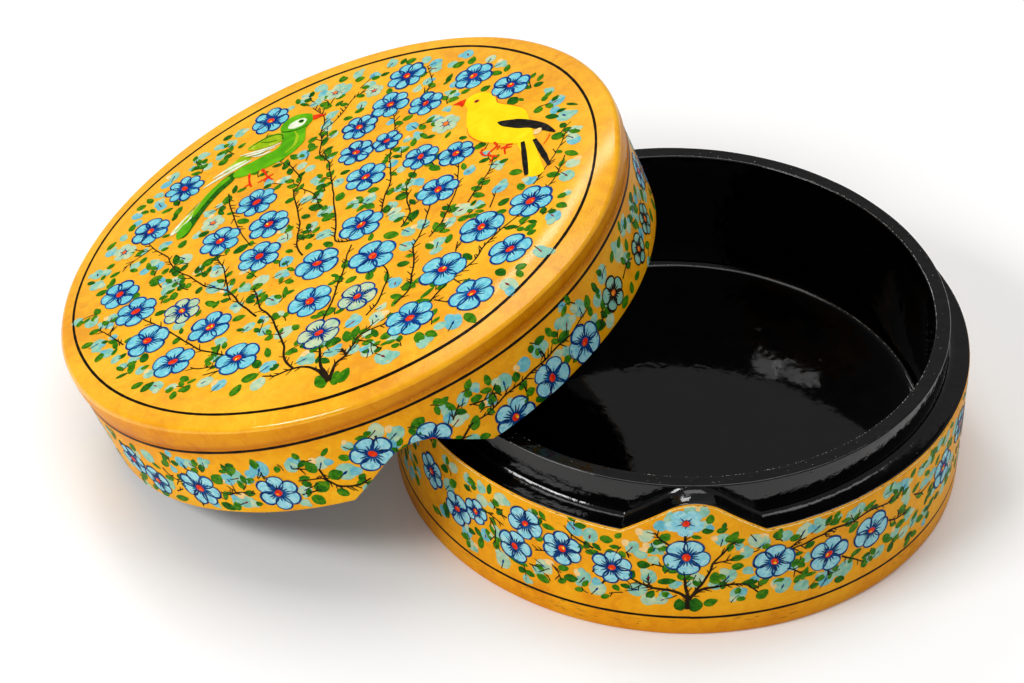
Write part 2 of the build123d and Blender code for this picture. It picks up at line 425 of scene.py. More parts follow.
def painted_board():
    """The lid's board: a swollen side, a tight turn, and the painted face with its falling border."""
    tight, out = 1.3, uneven(plain, 23)
    slope = np.arctan(2 * sag(plain) / FALL_OVER)
    turning = SKIRT_TOP + BULGE - tight + out
    middle = face_height(plain, turning + tight * np.sin(slope)) - tight * np.cos(slope)
    heights = [18.2, 18.45, 18.8, 19.3] + [19.3 + (middle - 19.3) * t for t in (0.3, 0.6, 0.85, 1.0)]
    turns = [(math.pi / 2 - slope) * k / 12 for k in range(1, 13)]
    rings = [(AXIS, SEAM), (30, SEAM), (SKIRT_IN, SEAM), (lid_side(plain, SEAM), SEAM)]
    rings += [(lid_side(plain, z), z) for z in heights]
    rings += [(turning + tight * np.cos(t), middle + tight * np.sin(t)) for t in turns]
    border = (64.2, 63.2, 62, 60.6, 59, 57.4, FALL_FROM)
    rings += [(r, face_height(plain, r)) for r in border + (50, 30, 12, AXIS)]
    bands = [1] * 3 + [0] * 9 + [2] * 10 + [3] * 8 + [2] * 5
    mats = [gold_lid_shaded, black, gold_face, gold_border]
    lathe("lid_painted_board", LID_AXES, plain, rings, bands, mats, "lid", "lid_top")


floor_board()
painted_wall()
black_collar()
painted_skirt()
painted_board()

# Painted work ----------------------------------------------------------------


def on_top(x, y, h):
    """The lid's face, h millimetres over it. It falls a little towards its edge."""
    angle, r = np.arctan2(x, -np.asarray(y, float)), np.hypot(x, y)
    return in_frame(LID_AXES, x, y, face_height(angle, r) + np.asarray(h, float))


def on_lid(s, z, h):
    """The lid's side: s along the arc from the painting's front, z over the cut edge."""
    a = np.asarray(s, float) / DRUM
    z = np.maximum(z, cut_height(a, DRUM, NOTCH) - LEDGE + 0.12)
    return on_drum(LID_AXES, a, lid_side(a, z) + h, z)


def on_base(s, z, h):
    """The base's side: s along the arc from the tent, z over the table."""
    a = np.asarray(s, float) / DRUM
    z = np.minimum(z, cut_height(a, DRUM, 0) - 0.4)
    return on_drum(BASE_AXES, a, base_side(a, z) + h, z)


def smooth_line(points, step, closed=False):
    """Catmull-Rom points through given ones, about step millimetres apart."""
    p = [np.array(q, float) for q in points]
    if closed:
        p = [p[-1]] + p + [p[0], p[1]]
    else:
        p = [2 * p[0] - p[1]] + p + [2 * p[-1] - p[-2]]
    out = []
    for a, b, c, d in zip(p, p[1:], p[2:], p[3:]):
        count = max(2, round(float(np.linalg.norm(c - b)) / step))
        for k in range(count):
            t = k / count
            out.append(0.5 * (2 * b + (c - a) * t + (2 * a - 5 * b + 4 * c - d) * t * t
                              + (3 * b - a - 3 * c + d) * t**3))
    if not closed:
        out.append(p[-2])
    return np.array(out)


# Levels of the painted work over the ground
LINE_LEVEL, DAB_LEVEL, LEAF_LEVEL, STEM_LEVEL, PETAL_LEVEL = 1, 1.3, 2.2, 2.8, 3
OUTLINE_LEVEL, RAY_LEVEL, HEART_LEVEL, SPECK_LEVEL = 5.4, 5.8, 6.4, 8.4


class Layer:
    """All the painted work on one surface, gathered by colour. Higher levels lie over lower ones."""

    COAT = 0.02                  # millimetres from one level to the next
    BLOB, RIDGE = 0.035, 0.03    # how much a blob and a brush stroke are raised in their middle

    def __init__(self, title, place, body):
        self.title, self.place, self.body, self.made = title, place, body, {}

    def put(self, colour, flat, heights, faces):
        """Add faces of one colour, from flat places and heights over the surface."""
        verts, polys = self.made.setdefault(colour, ([], []))
        start = sum(len(v) for v in verts)
        flat = np.asarray(flat, float)
        verts.append(self.place(flat[:, 0], flat[:, 1], np.asarray(heights, float)))
        polys.extend(tuple(start + i for i in f) for f in faces)

    def fan(self, colour, rim, centre, level):
        """A blob of paint with a slightly raised middle."""
        n, h = len(rim), self.COAT * level
        faces = [(i, (i + 1) % n, n) for i in range(n)]
        self.put(colour, list(rim) + [centre], [h] * n + [h + self.BLOB], faces)

    def oval(self, colour, x, y, long, wide, turn, level, sides=12, point=0.0, rough=0.06):
        """An oval, its long axis turned from x; point sharpens one end as on a leaf."""
        rim = []
        for k in range(sides):
            t = TURN * k / sides
            u, v = math.cos(t), math.sin(t)
            v *= 1 - point * max(0.0, u) ** 1.5
            grow = 1 + rng.uniform(-rough, rough)
            u, v = u * long * grow, v * wide * grow
            across, up = u * math.cos(turn) - v * math.sin(turn), u * math.sin(turn) + v * math.cos(turn)
            rim.append((x + across, y + up))
        self.fan(colour, rim, (x, y), level)

    def stroke(self, colour, points, widths, level, closed=False, step=0.7):
        """A brush stroke along points, as wide as widths say from its start to its end."""
        line = smooth_line(points, step, closed)
        n = len(line)
        if closed:
            along = np.roll(line, -1, 0) - np.roll(line, 1, 0)
        else:
            along = np.gradient(line, axis=0)
        along /= np.maximum(np.linalg.norm(along, axis=1), 1e-9)[:, None]
        side = np.stack([-along[:, 1], along[:, 0]], 1)
        w = np.interp(np.linspace(0, 1, n), np.linspace(0, 1, len(widths)), widths) / 2
        w = w * np.array([1 + rng.uniform(-0.08, 0.08) for _ in range(n)])
        flat = np.concatenate([line - side * w[:, None], line, line + side * w[:, None]])
        low = np.full(n, self.COAT * level)
        faces = []
        for i in range(n if closed else n - 1):
            j = (i + 1) % n
            faces += [(i, j, n + j, n + i), (n + i, n + j, 2 * n + j, 2 * n + i)]
        self.put(colour, flat, np.concatenate([low, low + self.RIDGE, low]), faces)

    def area(self, colour, points, level, smooth=True):
        """A filled shape with a given outline."""
        line = smooth_line(points, 1.0, closed=True) if smooth else np.array(points, float)
        tris = tessellate_polygon([[Vector((x, y, 0)) for x, y in line]])
        self.put(colour, line, [self.COAT * level] * len(line), tris)

    def dot(self, colour, x, y, r, level):
        """A small round dab."""
        self.oval(colour, x, y, r, r * rng.uniform(0.85, 1.0), rng.uniform(0, 3), level, 9)

    def finish(self):
        """Make one mesh of each colour used."""
        for colour, (verts, polys) in self.made.items():
            name, tones = f"{self.title}_{colour}", [PAINTS[colour]]
            mesh_object(name, np.concatenate(verts), polys, tones, [0] * len(polys), self.body)


def petal(layer, x, y, r, wide, turn, tone, ink, outline, level):
    """One petal of a blossom of radius r: bluer at its sides, outlined, with three rays; or a plain dab."""
    middle, half = 0.585, 0.40   # shares of the blossom's radius
    size, broad = rng.uniform(0.93, 1.07), rng.uniform(0.9, 1.06)
    c, s = math.cos(turn), math.sin(turn)

    def at(u, v):
        """A place u along the petal and v to its side."""
        return x + u * c - v * s, y + u * s + v * c

    def edge(grow, sides=16, out=0.0):
        """The petal's edge, grown about a point further out or in."""
        rim = []
        for i in range(sides):
            t = TURN * i / sides
            u = r * (middle + out + half * size * grow * math.cos(t))
            v = wide * broad * grow * math.sin(t) * (1.0 + 0.2 * math.cos(t))
            rim.append(at(u, v))
        return rim

    if not outline:
        layer.fan(tone, edge(0.95), at(r * 0.6, 0), level)
        ray = [at(r * 0.15, 0), at(r * rng.uniform(0.4, 0.55), 0)]
        layer.stroke(ink, ray, [0.1 * r, 0.03 * r], OUTLINE_LEVEL)
        return
    layer.fan("blue" if tone == "petal" else tone, edge(1.0), at(r * 0.6, 0), level)
    if tone == "petal":
        layer.fan(tone, edge(0.84, 14, 0.03), at(r * 0.66, 0), level + 0.7)
    w = rng.uniform(0.28, 0.4)
    swell = [w * rng.uniform(0.5, 1.7) for _ in range(7)]
    layer.stroke(ink, edge(1.0, 12), swell + swell[:1], OUTLINE_LEVEL, closed=True, step=0.6)
    for side in (-0.42, -0.06, 0.34):
        tip = at(r * rng.uniform(0.42, 0.62), wide * side * rng.uniform(0.8, 1.3))
        layer.stroke(ink, [at(r * 0.2, wide * side * 0.4), tip], [0.42, 0.34, 0.12], RAY_LEVEL, step=0.4)


def flower(layer, x, y, r, petals, phase, tone="petal", heart="red", ink="navy", outline=True, spot=True):
    """One blossom: petals round a heart, which may carry a speck or two of yellow."""
    span = math.sin(math.pi / petals)
    wide = r * 0.60 * span * 1.26
    for k in range(petals):
        turn = math.radians(phase) + TURN * k / petals + rng.uniform(-0.07, 0.07)
        petal(layer, x, y, r, wide, turn, tone, ink, outline, PETAL_LEVEL + 0.2 * (k % 2))
    turn = rng.uniform(0, 3)
    layer.oval(ink, x, y, r * 0.25, r * 0.22, turn, HEART_LEVEL, 11)
    layer.oval(heart, x, y, r * rng.uniform(0.19, 0.23), r * rng.uniform(0.15, 0.19), turn, 7.2, 11)
    if spot:
        for _ in range(rng.choice((0, 1, 1, 2))):
            a, off = rng.uniform(0, 6.28), 0.08 * r
            u, v, speck = x + off * math.cos(a), y + off * math.sin(a), rng.choice(("yellow", "orange"))
            layer.oval(speck, u, v, r * 0.09, r * 0.05, rng.uniform(0, 3), SPECK_LEVEL, 7)


def bud(layer, x, y, turn, long, mark):
    """An unopened blossom: one or two soft dabs, with a navy or crimson mark where mark is 1 or 2."""
    c, s = math.cos(turn), math.sin(turn)
    tone = rng.choice(("bud", "bud", "bud", "sky", "mist"))
    long *= 1.08
    wide = long * rng.uniform(0.76, 0.95)
    if rng.random() < 0.12:
        layer.oval("peach", x - 0.8 * long * s, y + 0.8 * long * c, 0.7 * long, 0.5 * long, turn + 1, 0.8)
    layer.oval(tone, x, y, long, wide, turn, DAB_LEVEL, 18, 0.1, 0.05)
    if rng.random() < 0.6:
        to = turn + rng.choice((-1, 1)) * rng.uniform(0.6, 1.3)
        second = rng.choice(("bud", "bud", "mist", "sky"))
        u, v = x + 0.75 * long * math.cos(to), y + 0.75 * long * math.sin(to)
        layer.oval(second, u, v, 0.66 * long, 0.5 * long, to, 1.7, 14, 0.1, 0.05)
    if mark:
        root, tip = (x - 0.5 * long * c, y - 0.5 * long * s), (x + 0.15 * long * c, y + 0.15 * long * s)
        layer.stroke(("navy", "crimson")[mark - 1], [root, tip], [0.14, 0.3 * wide, 0.12], 2.9, step=0.4)
        if rng.random() < 0.7:
            stalk = (x - 1.3 * long * c, y - 1.2 * long * s)
            layer.stroke("stem", [root, stalk], [0.3, 0.16], 2.7, step=0.5)


def leaf(layer, x, y, turn, long, wide):
    """A leaf of one dab, pointed at its far end."""
    tone = "moss" if rng.random() < 0.28 else "leaf"
    layer.oval(tone, x, y, 1.12 * long, 1.14 * wide, turn, LEAF_LEVEL, 14, 0.4, 0.05)


def sprig(layer, x, y, turn, reach):
    """A short twig with a few leaves and an unopened blossom at its tip."""
    leaf_off, bud_off = 1.35, 0.9
    c, s = math.cos(turn), math.sin(turn)
    bend, flip = rng.uniform(-0.5, 0.5), rng.choice((-1, 1))
    middle = (x + 0.5 * reach * c - bend * s, y + 0.5 * reach * s + bend * c)
    tip = (x + reach * c, y + reach * s)
    layer.stroke("stem", [(x, y), middle, tip], [0.28, 0.16], STEM_LEVEL)
    for t, side in ((0.1, 1), (0.5, -1), (0.9, 1)):
        if rng.random() < 0.75:
            a = turn + flip * side * rng.uniform(0.6, 1.3)
            u = x + t * reach * c + leaf_off * math.cos(a)
            v = y + t * reach * s + leaf_off * math.sin(a)
            leaf(layer, u, v, a, rng.uniform(0.85, 1.25), rng.uniform(0.55, 0.8))
    if rng.random() < 0.75:
        long, mark = rng.uniform(0.9, 1.5), rng.choice((0, 0, 1, 2))
        bud(layer, tip[0] + bud_off * c, tip[1] + bud_off * s, turn, long, mark)


def near(x, y, line, gap):
    """Whether a place is within gap of a line of points."""
    p = np.array(line, float)
    a, b, q = p[:-1], p[1:], np.array((x, y))
    t = np.clip(((q - a) * (b - a)).sum(1) / ((b - a) ** 2).sum(1), 0, 1)[:, None]
    return float(np.min(np.hypot(*(a + (b - a) * t - q).T))) < gap


def stem(layer, points, widths, thorns=0.0):
    """A hand-drawn stem that wavers a little, tried for so many thorns a millimetre."""
    widths = [min(1.35 * w, 0.25 + 0.75 * w) for w in widths]
    line = smooth_line(points, 2.2)
    wander = [rng.uniform(-0.12, 0.12) for _ in line]
    wander[0] = wander[-1] = 0
    points = [(x + v, y - v) if k % 2 else (x + v, y + v) for k, ((x, y), v) in enumerate(zip(line, wander))]
    layer.stroke("stem", points, widths, STEM_LEVEL, step=0.6)
    if thorns:
        line = smooth_line(points, 1.0 / thorns)
        for p, q in zip(line[1:], line[2:]):
            if rng.random() < 0.5:
                a = math.atan2(*(q - p)[::-1]) + rng.choice((-1, 1)) * rng.uniform(0.5, 1.0)
                long = rng.uniform(1.0, 2.2)
                tip = (p[0] + long * math.cos(a), p[1] + long * math.sin(a))
                layer.stroke("stem", [p, tip], [0.34, 0.16], STEM_LEVEL, step=0.5)


def plant(layer, stems, leaves, buds):
    """The listed stems, leaves and buds of a surface."""
    for points, widths in stems:
        stem(layer, points, widths, 0.07)
    for x, y, long, wide, turn in leaves:
        leaf(layer, x, y, math.radians(turn), long, wide)
    for x, y, long, turn, mark in buds:
        bud(layer, x, y, math.radians(turn), long, mark)


def clear_of(x, y, circles, grown, margin):
    """Whether a place lies outside circles (x, y, radius, ...), their radii scaled and then widened."""
    return all(math.hypot(x - q[0], y - q[1]) > q[2] * grown + margin for q in circles)


# Where the parts of the painting stand, read from enlarged views of the photo, in millimetres.
# Stems are (points, widths), leaves (x, y, length, width, turn in degrees), buds (x, y, length, turn,
# mark: 0 plain, 1 navy, 2 crimson) and flowers (x, y, radius, petals, turn of the first petal).
# On the lid's face y runs up the painting; on the sides x runs along the arc from the front, y up.

TOP_STEMS = [
    ([(-0.8, -58), (-3, -53.5), (-5.5, -50.5), (-9, -49), (-13, -49.3), (-16, -48)], (0.95, 0.5, 0.28)),
    ([(-9, -49), (-11, -45), (-11.3, -40), (-13, -33), (-14.5, -27), (-17, -22.5), (-18, -17),
      (-19, -14)], (0.45, 0.26)),
    ([(-18, -25), (-21.5, -19), (-25, -11.5), (-30.5, -6.5), (-34.5, -0.5), (-38, 4),
      (-40, 10)], (0.36, 0.2)), ([(-25, -11.5), (-26, -4), (-27, 0), (-29, 6)], (0.28, 0.18)),
    ([(-25, -35.5), (-31, -30), (-36, -23), (-40, -17), (-45, -11), (-47.5, -8)], (0.32, 0.2)),
    ([(-26, -38.5), (-31, -37), (-33, -35.5)], (0.3, 0.2)), ([(-25.5, -40.5), (-30, -40)], (0.3, 0.2)),
    ([(-49.5, -18), (-53.5, -12), (-56, -9)], (0.26, 0.16)), ([(-53.5, -12), (-51.5, -10)], (0.24, 0.16)),
    ([(-1.0, -58), (-1.8, -54), (-2.8, -51), (-3, -44)], (1.15, 0.6, 0.34)),
    ([(-2.4, -35), (-0.5, -30), (0.5, -25), (2, -20), (3, -14), (4, -10.5)], (0.36, 0.24)),
    ([(4.5, -9), (0.3, -7), (0.2, 0), (-0.3, 7), (-0.7, 14), (-1.3, 20), (-2, 26), (-4, 30), (-3.5, 35),
      (-4, 38)], (0.32, 0.2)),
    ([(-7.5, -8), (-9, -3), (-8.5, 5), (-9.3, 12), (-10, 18), (-8.5, 22), (-10, 27),
      (-12, 31)], (0.3, 0.2)), ([(-8.5, 19), (-5, 14), (-3.5, 8)], (0.24, 0.16)),
    ([(-26, 27), (-25.5, 22), (-24, 15), (-22, 8), (-20, 3)], (0.26, 0.18)),
    ([(-0.8, -58), (0.5, -53), (3, -51), (2.6, -49.5), (2, -48)], (0.9, 0.4)),
    ([(3, -51), (5, -47.5), (6, -45.5), (10, -44.5), (12.5, -44.5)], (0.5, 0.26)),
    ([(5, -46.5), (8, -49), (11, -53)], (0.3, 0.18)), ([(6, -45.5), (10.5, -42)], (0.28, 0.18)),
    ([(21, -43), (25, -38.5), (28, -35.5), (32, -33), (35, -28), (38, -25), (42, -22), (49, -15), (52, -10),
      (53.5, -5)], (0.36, 0.18)), ([(23, -42), (26.5, -45)], (0.28, 0.18)),
    ([(27.5, -37), (29, -39.5)], (0.26, 0.16)),
    ([(7.5, -39), (10, -36), (11.5, -31), (12.5, -26), (10.5, -21)], (0.34, 0.22)),
    ([(14, -38.5), (17, -35.5), (18, -30), (18.5, -25), (18.5, -19), (20.5, -14),
      (22.5, -5)], (0.34, 0.22)), ([(22, -18), (25, -14), (27, -8), (28.5, -3), (29, 6)], (0.28, 0.18)),
    ([(31, -10), (33, -6), (36, -1), (37, 3)], (0.28, 0.18)), ([(36, -15), (37.5, -9.5)], (0.24, 0.16)),
    ([(28, -27), (28.5, -23.5)], (0.24, 0.16)),
    ([(15.5, -10.5), (17.5, -6), (17, -1), (17, 5), (19, 10)], (0.3, 0.2)),
    ([(10.5, -3), (12, 5), (13, 9), (13, 20), (14, 30), (13.5, 36)], (0.28, 0.16)),
    ([(-4, 38), (-3, 44), (-6, 50)], (0.22, 0.14)), ([(-4, 38), (1, 43), (4, 48), (10, 50)], (0.22, 0.14)),
    ([(20, 38), (23, 43), (22, 50)], (0.22, 0.14)), ([(-40, 10), (-44, 16), (-46, 20)], (0.24, 0.16)),
    ([(-44, 16), (-51, 12)], (0.2, 0.14)), ([(46, -12), (52, -2), (54, 4)], (0.22, 0.14)),
]
TOP_LEAVES = [
    (-18.7, 54.4, 1.2, 0.9, 80), (-9.7, 55.1, 1.0, 0.6, 100), (-8, 52.7, 1.3, 0.5, -40),
    (1.2, 57.8, 1.1, 0.8, 80), (-26.9, 50.5, 1.1, 0.8, 20), (-23.3, 45, 1.0, 0.6, 30),
    (-27.2, 44.7, 1.1, 0.6, 70), (-27.7, 41, 1.3, 1.0, 40), (-27.2, 47.3, 0.9, 0.6, 10),
    (-33.7, 44.2, 1.4, 0.7, 100), (-33, 42, 1.1, 0.7, -30), (-35, 42.5, 0.9, 0.5, 50),
    (-45.6, 35.7, 1.2, 0.7, 120), (-47.6, 34.2, 1.1, 0.9, 0), (-46.6, 31.7, 1.0, 0.6, -30),
    (-44.7, 31.1, 1.0, 0.5, -60), (-49.5, 27.2, 1.2, 0.8, 70), (-41, 29.1, 1.3, 0.6, 10),
    (-38.3, 27.2, 1.6, 0.8, 60), (-39, 25.2, 1.1, 0.6, 60), (-54.4, 22.8, 1.4, 0.7, 45),
    (-40.8, 18.9, 1.0, 0.5, 0), (-54.1, 14.6, 1.0, 0.7, 30), (-58.7, 10.7, 1.0, 0.6, -30),
    (-55.8, 11.2, 0.8, 0.5, 60), (-52.9, 10.7, 1.2, 0.6, 20), (-53.4, 8, 1.4, 0.7, 80),
    (-54.1, 6.6, 1.0, 0.6, 120), (-55.8, 5.3, 1.3, 0.9, 10), (-46.1, 12.4, 1.0, 0.7, 50),
    (-48.3, 9.7, 1.1, 0.6, -40), (-44.7, 9.2, 1.4, 0.6, 100), (-41, 13.8, 0.9, 0.6, 0),
    (-42.7, 2.9, 1.6, 1.2, 25), (-40.5, 4.9, 1.0, 0.7, 45), (-37.9, 3.4, 1.7, 1.0, 95),
    (-38, 8, 1.9, 0.8, 95), (-36.7, 13.3, 1.3, 0.9, 60), (-31.6, 14.3, 1.2, 0.9, 0),
    (-30.1, 2.4, 1.4, 1.2, 40), (-32.5, 0.7, 1.1, 0.7, 70), (-22.1, 13.8, 1.6, 0.9, -35),
    (-22.3, 3.2, 1.8, 1.1, 25), (-19.9, 3.9, 0.9, 0.6, 90), (-27.7, 20.4, 1.1, 0.6, 120),
    (-25.2, 18.7, 1.0, 0.5, -20), (-26.2, 24.8, 1.5, 1.1, 75), (-24.5, 27.9, 1.4, 0.6, 80),
    (-22.8, 26.7, 1.1, 0.6, 10), (-12.1, 30.1, 1.3, 0.8, 60), (-11.2, 27.2, 1.3, 0.7, 100),
    (-10.2, 32.5, 1.4, 0.8, 130), (-5.8, 36.9, 1.1, 0.8, 30), (-6.1, 34.5, 1.3, 0.8, 110),
    (-2.9, 34.5, 1.5, 0.8, 70), (-8.3, 24.3, 1.0, 0.6, 40), (-10.7, 20.9, 1.2, 0.7, 150),
    (-8.3, 19.4, 1.0, 0.6, 60), (-10.9, 15.5, 1.2, 0.8, 20), (-9.5, 18.7, 0.9, 0.5, -60),
    (-3.4, 16.5, 1.3, 1.0, 0), (-4.6, 9, 1.8, 1.1, -35), (-7, 6.8, 1.1, 0.8, -30),
    (-1.5, 3.4, 1.6, 1.2, 20), (-10.9, 4.6, 1.3, 0.5, 100), (-3.9, 11.2, 0.9, 0.5, 100),
    (1, 10.2, 1.2, 0.9, 50), (-1.9, 24.3, 1.1, 0.5, 80), (-1, 20.4, 1.1, 0.5, 70),
    (-2.9, 49.5, 1.6, 0.9, -40), (-2.4, 48.1, 1.1, 0.5, 0), (0.5, 48, 1.0, 0.6, 30),
    (1.5, 57.5, 1.0, 0.8, 10), (5.5, 55.1, 1.1, 0.9, 0), (18, 55, 1.2, 0.9, 10), (16.2, 56, 1.0, 0.7, 60),
    (11.7, 53.4, 1.0, 0.6, 0), (5.7, 48, 1.2, 0.6, -40), (12.7, 45.6, 1.1, 0.7, 90),
    (5.5, 42, 1.1, 0.7, 10), (2.7, 40.5, 1.1, 0.7, -20), (1.7, 46.8, 1.0, 0.6, -30),
    (29.5, 46.2, 1.3, 1.0, 10), (32.7, 46, 1.3, 0.9, 70), (27.2, 42.2, 1.3, 0.6, 60),
    (26.7, 40.8, 1.0, 0.4, 30), (23, 41.7, 1.2, 0.7, -60), (38.5, 37.1, 1.4, 0.8, -35),
    (41, 37.6, 1.2, 0.7, 70), (31, 34.2, 1.0, 0.7, 10), (28.2, 32.8, 1.2, 0.8, -20),
    (35.7, 32.5, 1.1, 0.9, 20), (15, 31, 1.2, 0.7, -40), (17.2, 31.8, 1.2, 0.8, 10),
    (21.5, 39.3, 1.0, 0.6, 70), (48.7, 28.9, 1.2, 0.6, 60), (48.2, 26.5, 1.1, 0.8, 0),
    (45.5, 26.9, 1.1, 0.6, -50), (42, 23.5, 1.6, 1.3, 110), (44, 22.8, 0.9, 0.4, -50),
    (49.5, 20.1, 1.1, 0.7, 70), (50.4, 21.1, 1.0, 0.6, 40), (47.9, 16.3, 1.1, 1.0, 80),
    (51, 11.7, 1.6, 0.8, -35), (53.2, 12.9, 1.0, 0.6, 0), (55.7, 13.8, 1.5, 0.4, -35),
    (52.2, 3.2, 1.6, 1.2, -30), (56, 2.9, 1.3, 0.8, -40), (34, 10.2, 1.3, 0.9, 0),
    (30.2, 15.8, 1.0, 0.6, -30), (39.5, 1, 1.0, 0.7, 10), (30.2, 4.4, 1.3, 0.6, 100),
    (18.2, 8.3, 1.4, 0.8, 120), (9, 7.8, 1.3, 0.9, -20), (5.7, 6.6, 1.0, 0.5, -40), (13, 4.9, 1.2, 0.8, 60),
    (8.2, 1.9, 1.4, 0.9, -50), (15.7, 1.5, 1.5, 1.1, 20), (23.5, 7.8, 1.6, 0.9, -45),
    (13.7, 11.4, 1.3, 0.5, -50), (1.2, 9.5, 1.2, 0.9, 40), (12.5, 19.2, 1.2, 0.6, 50),
    (11.7, 17.5, 1.2, 0.7, 60), (18.5, 21.1, 1.4, 0.7, 80), (21, 22.1, 1.6, 0.6, -60),
    (2.2, 18.9, 1.1, 0.7, 0), (-1, 3.4, 1.3, 1.0, -20), (22.7, 20.9, 0.9, 0.6, 0),
    (26.7, 19.2, 1.1, 0.5, 60), (-56.6, -1.5, 1.2, 0.8, 110), (-47.3, -0.7, 1.2, 0.9, 90),
    (-59, -3.5, 1.0, 0.5, 40), (-56.8, -9, 1.2, 0.8, 10), (-58.3, -13.2, 1.3, 0.9, 0),
    (-54.1, -14.5, 0.8, 0.6, 0), (-55.1, -19.5, 1.5, 0.9, 60), (-51.5, -17, 1.4, 0.6, 100),
    (-51.5, -19.5, 1.1, 0.5, 60), (-49.5, -22.2, 1.0, 0.7, 30), (-48.1, -17, 1.1, 0.8, 10),
    (-44.2, -25.7, 1.5, 1.0, 90), (-47.1, -27.7, 2.0, 0.8, 80), (-49.3, -29.5, 1.3, 0.5, 10),
    (-43.9, -29.5, 1.0, 0.6, 20), (-45.4, -35.2, 1.3, 0.9, 10), (-43, -37, 1.6, 1.0, 35),
    (-37.6, -41, 1.0, 0.8, 40), (-36.7, -43.5, 1.2, 0.8, 80), (-34.2, -39, 1.3, 0.8, -50),
    (-33.7, -42.7, 1.2, 0.9, 60), (-32.5, -40.7, 1.0, 0.5, 10), (-40.5, -5.2, 1.0, 0.7, 0),
    (-41, -10.7, 1.3, 0.8, 0), (-38, -6, 1.3, 0.9, 90), (-36.3, -3.5, 1.2, 0.9, 60),
    (-32.5, 1, 1.2, 0.8, 80), (-30.8, -1.7, 1.1, 0.7, 90), (-32, -7.2, 1.1, 0.7, 60),
    (-28.9, -14.2, 1.9, 0.8, -50), (-27.7, -15, 1.2, 0.6, 60), (-24, -8.7, 1.3, 0.6, 80),
    (-19.8, -8.7, 1.1, 0.9, 100), (-21.6, -11, 1.0, 0.5, 60), (-18.2, -13.7, 1.4, 1.0, 10),
    (-25.2, -12.5, 0.9, 0.6, 0), (-19.4, -17.2, 1.2, 1.0, 40), (-16.3, -19, 1.2, 0.9, 70),
    (-11.4, -19.7, 1.9, 0.6, 85), (-10.7, -4.5, 1.0, 0.6, -40), (-6.1, -5.2, 1.1, 0.8, 80),
    (-5.6, -1.7, 0.9, 0.6, 20), (-1.5, -7, 1.4, 0.7, -40), (-10.2, -11.7, 1.2, 0.5, -50),
    (-22.1, -23.3, 1.4, 0.9, 0), (-36.7, -23.5, 1.1, 0.8, 60), (-35.7, -20.5, 1.0, 0.5, 90),
    (-31.8, -16, 1.0, 0.5, 60), (-13.6, -27.5, 1.3, 0.9, 100), (-21.6, -28, 1.0, 0.5, -30),
    (-27.2, -32.5, 2.0, 0.8, 70), (-28.2, -34.7, 1.5, 0.8, 20), (-25.2, -31.7, 1.2, 0.6, 90),
    (-8.7, -34.2, 1.1, 0.8, 120), (-4.1, -33, 1.2, 0.6, -30), (-2.4, -32.7, 1.4, 0.9, -30),
    (-0.7, -33.2, 1.2, 0.5, 40), (-15, -40, 1.7, 0.7, 100), (-17.5, -42.7, 1.7, 1.0, 110),
    (-18.9, -46.9, 1.8, 1.3, 0), (-22.1, -49.7, 1.7, 1.1, 55), (-13.3, -46.2, 1.1, 0.9, 30),
    (-9.7, -42.7, 1.1, 0.9, 10), (-4.1, -44.2, 1.6, 1.0, 70), (-1.9, -50.2, 1.6, 0.8, -45),
    (-3.4, -49, 1.1, 0.5, 80), (-0.2, -44.2, 1.6, 1.1, 20), (-2.7, -57, 2.1, 1.3, 110),
    (12.2, -1.5, 1.4, 1.0, 90), (16, 1, 1.2, 1.0, 0), (18.5, -7.7, 1.8, 1.0, 60),
    (8.5, -10.2, 1.2, 0.6, 80), (13.2, -12.2, 1.8, 1.2, -30), (-1.3, -7.5, 1.2, 0.8, -50),
    (2.7, -17.2, 1.4, 1.0, 90), (1, -21.7, 1.3, 0.7, 120), (4, -23.7, 1.3, 0.9, 20),
    (0.2, -20, 1.0, 0.5, -40), (8.2, -24.7, 1.4, 0.9, 100), (16, -24.7, 1.4, 0.9, -20),
    (12.2, -27.5, 1.7, 0.6, 90), (17.7, -22.5, 1.1, 0.6, -20), (23.7, -15.2, 1.8, 0.9, 100),
    (24.7, -16.5, 1.2, 0.7, -50), (22, -21.5, 1.4, 0.8, 120), (26.5, -21.2, 1.4, 0.8, 70),
    (30, -15.5, 1.3, 0.9, 0), (33.7, -15, 1.1, 0.5, -30), (39.2, -14.7, 1.3, 1.0, 30),
    (38.5, -18.2, 1.2, 0.9, 0), (34.2, -3.7, 1.2, 0.8, 80), (33.5, -8.7, 1.6, 0.8, -40),
    (32.3, -11, 0.9, 0.5, 50), (42.2, -5, 1.5, 1.0, -30), (43.2, -11.2, 1.4, 0.8, 110),
    (50.7, -11, 1.6, 0.9, -30), (52.2, -3, 0.9, 0.5, -40), (55, -5.2, 1.8, 0.8, -45),
    (52.7, -7.5, 1.2, 0.5, 60), (52.5, -20, 1.1, 0.8, 0), (52.2, -23.5, 1.3, 0.9, -40),
    (43.7, -24, 1.2, 0.8, 10), (40.7, -25.2, 1.5, 0.7, -20), (45, -27.7, 1.3, 1.0, 30),
    (45.2, -29.7, 1.0, 0.8, 10), (30.7, -30.5, 1.7, 0.8, -60), (19.5, -32.7, 1.2, 0.8, 30),
    (17.5, -33.5, 1.7, 1.0, -50), (14.5, -36, 1.6, 0.8, -40), (14.2, -37.7, 1.5, 0.6, 60),
    (-0.8, -33, 1.2, 0.8, 0), (21.5, -38.5, 1.9, 0.6, 40), (20.7, -41.2, 2.0, 0.7, -30),
    (30.2, -39.5, 1.1, 0.7, 40), (38, -40.5, 1.6, 1.0, -60), (42.5, -40.5, 1.2, 0.9, 10),
    (42, -42.5, 1.1, 0.7, 110), (0.2, -44.5, 1.6, 1.2, -10), (3.2, -44.2, 1.9, 1.0, 100),
